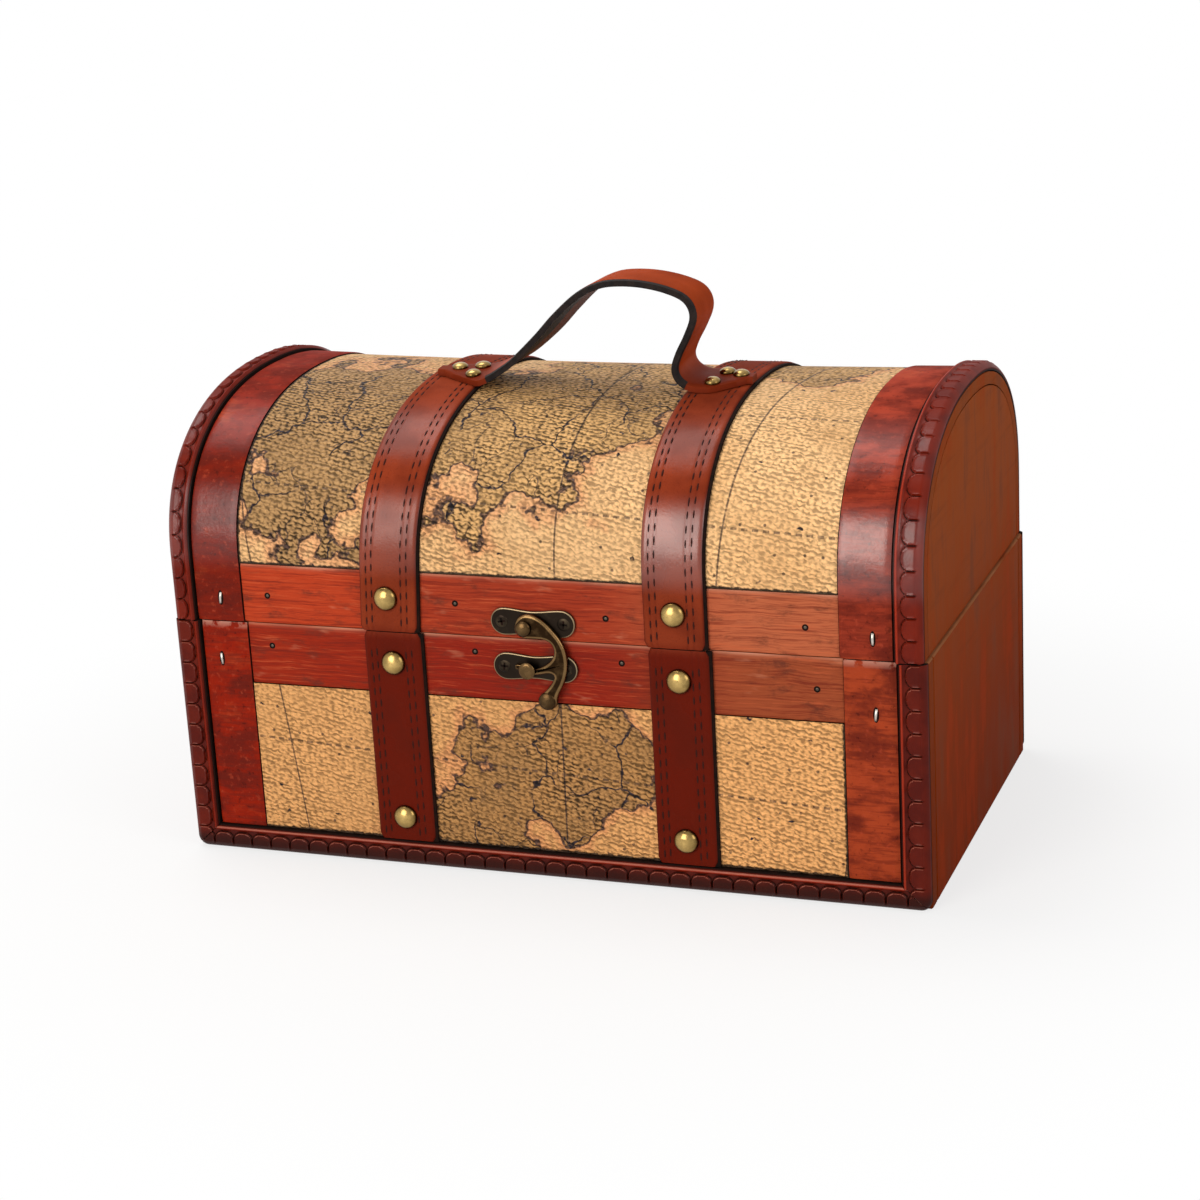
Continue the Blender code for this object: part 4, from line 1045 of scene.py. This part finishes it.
# Radius, height and sides of the studs, and their height over the boards
STUD, HANDLE_STUD = (0.0040, 0.0024, 40), (0.0026, 0.0014, 32)
STUD_SEAT = 0.0029
DOME_FOOT = -0.0003


def dome(radius, height, steps=10):
    profile = []
    for step in range(steps + 1):
        angle = pi / 2 * step / steps
        profile.append((radius * sin(angle), height * cos(angle)))
    return profile + [(radius, DOME_FOOT)]


def turned(name, profile, sides, matrix, wear, even=True):
    """A turned fitting, rubbed evenly, or bright on its crown and dull round its foot, where the
    dullness is patina and painted shade.
    """
    verts, faces = lathe(profile, sides, matrix)
    mesh = make_mesh(name, verts, faces)
    rings = (len(verts) - 1) // sides
    shares = [0, *((number // sides + 1) / rings for number in range(len(verts) - 1))]
    set_wear(mesh, [wear * (1 if even else 1 - share**0.75) for share in shares])
    return mesh


def brass_dome(name, size, matrix, body, node):
    mesh = turned(name, dome(*size[:2]), size[2], matrix, 1, False)
    add(mesh, body, "bright_brass", (node,), BRASS)


for hand, way in SIDES:
    for name, body, node, x, z in (("lid", "lid", f"lid_stud_{hand}", LID_SHIFT, SEAM + 0.0112),
                                   ("top", "base", f"base_stud_{hand}_upper", 0, SEAM - 0.0101),
                                   ("bottom", "base", f"base_stud_{hand}_lower", 0, 0.0168)):
        matrix = to_front(way * STRAP_PLACE + x, STUD_SEAT, z)
        brass_dome(f"stud_{name}_{hand}", STUD, matrix, body, node)


STAPLE_PATH = ((-0.0019, -0.0004), (-0.0018, 0.0002), (0, 0.00035), (0.0018, 0.0002),
               (0.0019, -0.0004))
STAPLES = ((-0.1077, 0.0875, "lid"), (0.1086, 0.0864, "lid"),
           (-0.1093, 0.0667, "base"), (0.1091, 0.0625, "base"))
WIRE_POINTS, WIRE_WIDE, WIRE_HIGH = 8, 0.00046, 0.0003
DENT_POINTS, DENT_WIDE, DENT_LONG, DENT_HIGH, DENT_SINK = 16, 0.001, 0.0026, 0.00022, 0.00016


def staple(name, x, z, body, side):
    """A staple's crown: a short bent wire, its two ends sunk in a dent of the band, which is a low
    disc painted near-black as shade.
    """
    verts = []
    lean = random.Random(name).uniform(-0.12, 0.12)
    for along, up in STAPLE_PATH:
        for j in range(WIRE_POINTS):
            angle = 2 * pi * j / WIRE_POINTS
            across = WIRE_WIDE * cos(angle)
            lift = WIRE_HIGH * sin(angle) + up
            depth = side * (HALF_DEPTH + BAND_OUT + lift)
            verts.append(Vector((x + across + along * lean, depth, z + along)))
    mesh = make_mesh(name, verts, ring_faces(len(STAPLE_PATH), WIRE_POINTS))
    set_wear(mesh, [0.7] * len(verts))
    add(mesh, body, "aged_bronze", (), STEEL)
    angles = [2 * pi * j / DENT_POINTS for j in range(DENT_POINTS)]
    rim = [(DENT_WIDE * cos(angle), DENT_LONG * sin(angle)) for angle in angles]
    verts, faces, _ = rounded_plate(rim, DENT_HIGH, 0.0002)
    matrix = to_front(x, BAND_OUT - DENT_SINK, z, side)
    mesh = make_mesh(name + "_dent", [matrix @ v for v in verts], faces)
    add(mesh, body, "band_leather", (), DARK)


BRAD_RADIUS, BRAD_SIDES = 0.0007, 12
BRAD_DENT = 0.00004
BRAD_SINK = 0.00005
BRADS = ((-0.0911, 0.0888, "lid"), (-0.0257, 0.0898, "lid"), (0.0243, 0.0877, "lid"),
         (0.0878, 0.0886, "lid"), (-0.0910, 0.0719, "base"), (-0.0200, 0.0743, "base"),
         (0.0288, 0.0735, "base"), (0.0909, 0.0692, "base"))


def brad(name, x, z, body, side):
    """A small sunk nail: a dull head in a dent painted near-black as shade."""
    matrix = to_front(x, SKIN_OUT - BRAD_SINK, z, side)
    head = [(0, 0.00012), (BRAD_RADIUS * 0.6, 0.0001), (BRAD_RADIUS * 0.75, 0)]
    mesh = turned(name, head, BRAD_SIDES, matrix, 0.5)
    add(mesh, body, "aged_bronze", (), NAIL)
    disc = lathe([(0, BRAD_DENT), (BRAD_RADIUS * 1.5, BRAD_DENT)], BRAD_SIDES, matrix)
    rim = [(BRAD_RADIUS * 1.5, BRAD_DENT), (BRAD_RADIUS * 1.55, -0.0001)]
    ring = lathe(rim, BRAD_SIDES, matrix)
    add(make_mesh(name + "_dent", *join([disc, ring])), body, "stained_rail", (), DARK)


for kind, make, places in (("staple", staple, STAPLES), ("brad", brad, BRADS)):
    for word, side in WALLS:
        for number, (x, z, body) in enumerate(places, 1):
            make(f"{kind}_{word}_{number}", x, z, body, side)


# ---------- latch ----------

LATCH_X = 0.0005
LATCH_Z = SEAM + 0.0058
CATCH_Z = SEAM - 0.0089
PIVOT = (LATCH_X - 0.0024, LATCH_Z - 0.0014)
ARM_LENGTH = 0.0244
PLATE_LENGTH, PLATE_HEIGHT, PLATE_WAIST = 0.028, 0.0088, 0.82
PLATE_ROUNDING, ARM_ROUNDING, NECK_ROUNDING = 0.0003, 0.0008, 0.0002
RIVET_SEAT = 0.00035
SCREW_PLACE = 0.0103
SCREW_RADIUS, SCREW_SEAT, SCREW_SIDES = 0.0021, 0.0001, 28
CROSS_REACH, CROSS_HALF, CROSS_HEIGHTS = 0.00125, 0.0003, (-0.0003, 0.00009)


def plate_outline(steps=14):
    """A plate with round ends that is drawn in at its waist."""
    radius = PLATE_HEIGHT / 2
    reach = PLATE_LENGTH / 2 - radius
    outline = []
    for way in (1, -1):
        for step in range(steps + 1):
            angle = pi * (step / steps - 0.5)
            outline.append((way * (reach + radius * cos(angle)), way * radius * sin(angle)))
        for step in range(1, steps):
            share = 1 - 2 * step / steps
            draw = (1 - PLATE_WAIST) * (1 + cos(pi * share)) / 2
            outline.append((way * reach * share, way * radius * (1 - draw)))
    return outline


def latch_piece(name, outline, x, z, low, high, rounding, body, replaces=(), finish=BLACKENED):
    verts, faces, wear = rounded_plate(outline, high - low, rounding)
    matrix = to_front(x, low, z)
    mesh = make_mesh(name, [matrix @ v for v in verts], faces)
    set_wear(mesh, wear)
    outward(mesh)
    sharpen(mesh, 40)
    add(mesh, body, "aged_bronze", replaces, finish)


for name, z, body, node in (("upper", LATCH_Z, "lid", "latch_plate"),
                            ("lower", CATCH_Z, "base", "catch_plate")):
    latch_piece(f"latch_plate_{name}", plate_outline(), LATCH_X, z, PLATE_IN, PLATE_OUT,
                PLATE_ROUNDING, body, (node,))

# Across and up from the pivot, in thousandths of the arm's length
ARM_SHARES = (
    (-125, 30), (-85, 125), (0, 178), (95, 182), (185, 155), (280, 95), (375, 0), (460, -100),
    (522, -210), (555, -330), (562, -460), (540, -595), (490, -730), (430, -840), (398, -920),
    (388, -1005), (335, -1065), (255, -1080), (180, -1040), (150, -965), (170, -895), (225, -845),
    (300, -765), (355, -685), (372, -618), (310, -590), (185, -612), (40, -632), (-45, -630),
    (-78, -600), (-50, -575), (80, -560), (215, -505), (320, -435), (378, -355), (390, -270),
    (355, -190), (270, -145), (130, -138), (10, -138), (-80, -108), (-130, -40),
)
arm = [Vector((x / 1000, z / 1000)) for x, z in ARM_SHARES]
arm = [spot * ARM_LENGTH for spot in curve([arm[-1], *arm, *arm[:2]], 3)]
latch_piece("latch_hook", arm[::-1], *PIVOT, ARM_IN, ARM_OUT, ARM_ROUNDING, "latch_arm",
            ("latch_arm",), BRONZE)


def from_pivot(x_share, z_share):
    return PIVOT[0] + x_share * ARM_LENGTH, PIVOT[1] + z_share * ARM_LENGTH


def turned_bit(name, profile, place, offset, body, wear, replaces=()):
    matrix = to_front(place[0], offset, place[1])
    mesh = turned(name, profile, 32, matrix, wear, profile[-1][0] == 0)
    sharpen(mesh, 40)
    add(mesh, body, "aged_bronze", replaces, BRONZE)


KNOB = [(radius, height + DOME_FOOT) for radius, height in dome(0.0029, 0.0011)]
BUTTON = [(0, 0.0010), (0.0019, 0.00095), (0.0024, 0.0008), (0.0027, 0.0005), (0.0027, 0.0001),
          (0.0024, 0), (0, 0)]
turned_bit("latch_rivet", dome(0.0026, 0.0013), PIVOT, ARM_OUT + RIVET_SEAT, "lid", 0.75,
           ("latch_pivot",))
turned_bit("latch_knob", KNOB, from_pivot(0.262, -0.965), ARM_OUT, "latch_arm", 0.55)
turned_bit("catch_button", BUTTON, from_pivot(0.020, -0.560), ARM_OUT + 0.0003, "base", 0.65)
NECK = [(-0.0014, -0.0007), (0.0014, -0.0007), (0.0014, 0.0007), (-0.0014, 0.0007)]
latch_piece("catch_neck", NECK, *from_pivot(-0.075, -0.515), PLATE_OUT - 0.0002, ARM_OUT + 0.0005,
            NECK_ROUNDING, "base", (), BRONZE)


def screw_head(name, x, z, body, node):
    """A flat head with a near-black cross that stands in for the shade in its recess, turned at
    random.
    """
    profile = [(0, -0.00005), (SCREW_RADIUS * 0.8, 0.00005), (SCREW_RADIUS, -0.00012),
               (SCREW_RADIUS, -0.0006)]
    matrix = to_front(x, PLATE_OUT + SCREW_SEAT, z)
    mesh = turned(name, profile, SCREW_SIDES, matrix, 0.12)
    add(mesh, body, "aged_bronze", (node,), BLACKENED)
    turn = random.Random(name).uniform(0, 1.5)
    corners = [(u * CROSS_REACH, v * CROSS_HALF) for u, v in ((-1, -1), (1, -1), (1, 1), (-1, 1))]
    faces = [(3, 2, 1, 0), (4, 5, 6, 7), (0, 1, 5, 4), (1, 2, 6, 5), (2, 3, 7, 6), (3, 0, 4, 7)]
    parts = []
    for angle in (turn, turn + pi / 2):
        slot = matrix @ Matrix.Rotation(angle, 4, "Z")
        verts = [slot @ Vector((u, v, height)) for height in CROSS_HEIGHTS for u, v in corners]
        parts.append((verts, faces))
    add(make_mesh(name + "_cross", *join(parts), False), body, "aged_bronze", (), DARK)


for hand, way in SIDES:
    x = LATCH_X + way * SCREW_PLACE
    screw_head(f"screw_upper_{hand}", x, LATCH_Z, "lid", f"latch_screw_{hand}")
    screw_head(f"screw_lower_{hand}", x, CATCH_Z, "base", f"catch_screw_{hand}")


# ---------- handle ----------

# Along the lid and up, in thousandths of the straps' spacing and of the handle's rise
HANDLE_SHARES = (
    (-519, 0), (-512, 0), (-492, 0), (-460, 0), (-400, 0), (-345, 0), (-300, 40), (-252, 112),
    (-192, 225), (-103, 453), (-31, 669), (48, 870), (120, 972), (189, 1000), (273, 988),
    (356, 935), (412, 855), (430, 720), (407, 545), (375, 370), (359, 220), (374, 95), (418, 12),
    (480, 0), (545, 0), (580, 0), (601, 0), (608, 0),
)
HANDLE_RISE = 0.03195
HANDLE_THICK = 0.0022
HANDLE_WIDE = 0.020
HANDLE_FORWARD = 0.0135
HANDLE_SEAT = STRAP_OUT + COVER_GAP
HANDLE_COLUMNS = 16
STRAP_SPACING = 2 * STRAP_PLACE
LEFT_TIP, RIGHT_TIP = 0.018, 0.0114
TWIST = 0.001
LIFTED = 0.0012

places = [Vector((x / 1000 * STRAP_SPACING, z / 1000 * HANDLE_RISE)) for x, z in HANDLE_SHARES]
ends = [places[0] * 2 - places[1], *places, places[-1] * 2 - places[-2]]
handle_route = curve(ends, 6) + [places[-1]]
handle_rows = len(handle_route) - 1
crown = arch_height(0, 0, HANDLE_SEAT)


def handle_spot(number, across, lift):
    """A point over the handle's route, which is narrow at its tips and follows the lid there."""
    x, rise = handle_route[number]
    ahead = handle_route[min(handle_rows, number + 1)] - handle_route[max(0, number - 1)]
    ahead = ahead.normalized()
    into = min(1, max(0, (handle_route[0].x + LEFT_TIP - x) / LEFT_TIP,
                      (x - handle_route[-1].x + RIGHT_TIP) / RIGHT_TIP))
    width = HANDLE_WIDE * max(0.25, (1 - into) ** 0.7)
    y = width * (across - 0.5) - HANDLE_FORWARD + 0.0015 * into
    level = min(1, rise / HANDLE_RISE)
    x += LID_SHIFT
    twist = 0
    if number < handle_rows / 2:
        twist = TWIST * sin(pi * level) * (across - 0.5)
    z = rise + level * crown + (1 - level) * arch_height(x, y, HANDLE_SEAT)
    return Vector((x - ahead.y * lift + twist, y, z + ahead.x * lift - twist))


def handle_top(across, along):
    side = min(across, 1 - across) * HANDLE_WIDE
    lift = HANDLE_THICK - 0.0004 * fall(side, 0.0006)
    point = handle_spot(round(along * handle_rows), across, lift)
    return point, (across * HANDLE_WIDE, along), fall(side, 0.0005) * 0.7


def handle_under(across, along):
    return handle_spot(round(along * handle_rows), across, 0)


# The underside is dark at the edges, and along one side of the twisted left leg it is painted black
# as shade
mesh = skin("carrying_handle", HANDLE_COLUMNS, handle_rows, handle_top, handle_under)
wide = HANDLE_COLUMNS + 1
for polygon in mesh.polygons:
    places = [v % (wide * (handle_rows + 1)) for v in polygon.vertices]
    row, column = min(v // wide for v in places), min(v % wide for v in places)
    depths = [mesh.vertices[v].co.y for v in polygon.vertices]
    rise = handle_route[row][1]
    under = polygon.material_index == 1
    darkened_edge = under and max(depths) - min(depths) < 0.0004
    painted_shade_columns = 1 + round(7 * sin(pi * min(1, rise / HANDLE_RISE)))
    if rise <= LIFTED:
        polygon.material_index = 0
    elif column == 0 or darkened_edge or (under and row < handle_rows / 2 and column < painted_shade_columns):
        polygon.material_index = 1
    elif under:
        polygon.material_index = 2
add(mesh, "lid", "handle_leather", ("handle",), HANDLE, LINING, UNDERSIDE)

HANDLE_STUDS = {
    "left": ((-0.4455, 0.075), (-0.370, 0.185), (-0.370, -0.250)),
    "right": ((0.4885, -0.325), (0.509, 0.175), (0.563, 0.065)),
}
for hand, spots in HANDLE_STUDS.items():
    for number, (along, across) in enumerate(spots, 1):
        x = along * STRAP_SPACING + LID_SHIFT
        y = across * HANDLE_WIDE - HANDLE_FORWARD
        top = HANDLE_SEAT + HANDLE_THICK + COVER_GAP
        here, near = arch_height(x, y, top), arch_height(x, y - MM, top)
        slope = Matrix.Rotation(atan2(here - near, MM), 4, "X")
        matrix = Matrix.Translation((x, y, here)) @ slope
        node = f"handle_stud_{hand}_{number}"
        brass_dome(f"handle_rivet_{hand}_{number}", HANDLE_STUD, matrix, "lid", node)


# ---------- boards and hinges keep their solids ----------

BOARD_PAINTS = {"left_panel": END_BOARD, "right_panel": END_BOARD, "front_panel": SHELL_EDGE,
                "back_panel": SHELL_EDGE, "lid_shell": SHELL_EDGE, "bottom_panel": INNER}
for node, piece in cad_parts.items():
    paints = [paint for ending, paint in BOARD_PAINTS.items() if node.endswith(ending)]
    if node.startswith("hinge_"):
        paints = [BRONZE]
    if paints:
        piece.data.materials.clear()
        piece.data.materials.append(paints[0])


# ---------- camera, floor and light ----------

scene = bpy.context.scene
scene.view_settings.view_transform = "Standard"

camera_data = bpy.data.cameras.new("camera")
camera_data.sensor_fit = "HORIZONTAL"
camera_data.sensor_width = 36
camera_data.lens = 81.3
camera_data.clip_start = 0.01
camera = bpy.data.objects.new("camera", camera_data)
scene.collection.objects.link(camera)
scene.camera = camera
right = Vector((0.93994, 0.33707, -0.05383))
up = Vector((-0.05255, 0.29871, 0.95290))
forward = Vector((-0.33728, 0.89283, -0.29848))
turn = Matrix((right, up, -forward)).transposed().to_4x4()
camera.matrix_world = Matrix.Translation((0.30294, -0.81206, 0.34153)) @ turn

world = bpy.data.worlds.new("studio")
scene.world = world
world.use_nodes = True
sky = Nodes(world.node_tree)
background = sky.tree.nodes["Background"]
background.inputs["Color"].default_value = (1, 1, 1, 1)
sky.put(sky.node("Mix", {0: sky.seen(), 2: 0.30, 3: 1.0}).outputs[0], background.inputs["Strength"])

# The floor shows a little near the object, for its shadow, and goes over into white
p = Paint("floor", roughness=0.9, specular=0.1)
p.colour((860, 850, 840))
distance = p.vmath("LENGTH", p.place())
white = p.times(p.step(distance, 0.10, 0.30, 0.72, 1.0), p.seen())
emission = p.node("Emission", {"Color": (1000, 1000, 1000)}).outputs[0]
blend = p.node("MixShader", {0: white, 1: p.shader.outputs[0], 2: emission})
p.put(blend.outputs[0], p.tree.nodes["Material Output"].inputs["Surface"])

corners = [(-4, -4, 0), (4, -4, 0), (4, 4, 0), (-4, 4, 0)]
floor_mesh = make_mesh("floor", corners, [(0, 1, 2, 3)], False)
floor_mesh.materials.append(p.material)
floor = bpy.data.objects.new("floor", floor_mesh)
floor.location.z = -0.0002
scene.collection.objects.link(floor)


def lamp(name, place, target, size_x, size_y, watts, colour):
    data = bpy.data.lights.new(name, "AREA")
    data.shape = "RECTANGLE"
    data.size, data.size_y = size_x, size_y
    data.energy = watts
    data.color = colour
    thing = bpy.data.objects.new(name, data)
    thing.location = place
    thing.rotation_euler = (Vector(target) - Vector(place)).to_track_quat("-Z", "Y").to_euler()
    scene.collection.objects.link(thing)


lamp("key_softbox", (-0.39, -1.15, 0.56), (0, 0, 0.12), 0.64, 0.90, 9.6, (1, 0.96, 0.90))
lamp("top_softbox", (-0.5, 0.25, 1.4), (0, 0, 0.1), 0.85, 0.75, 10.5, (1, 0.99, 0.97))
lamp("side_softbox", (1.4, -0.6, 0.8), (0, 0, 0.08), 0.8, 0.8, 7, (1, 0.97, 0.94))
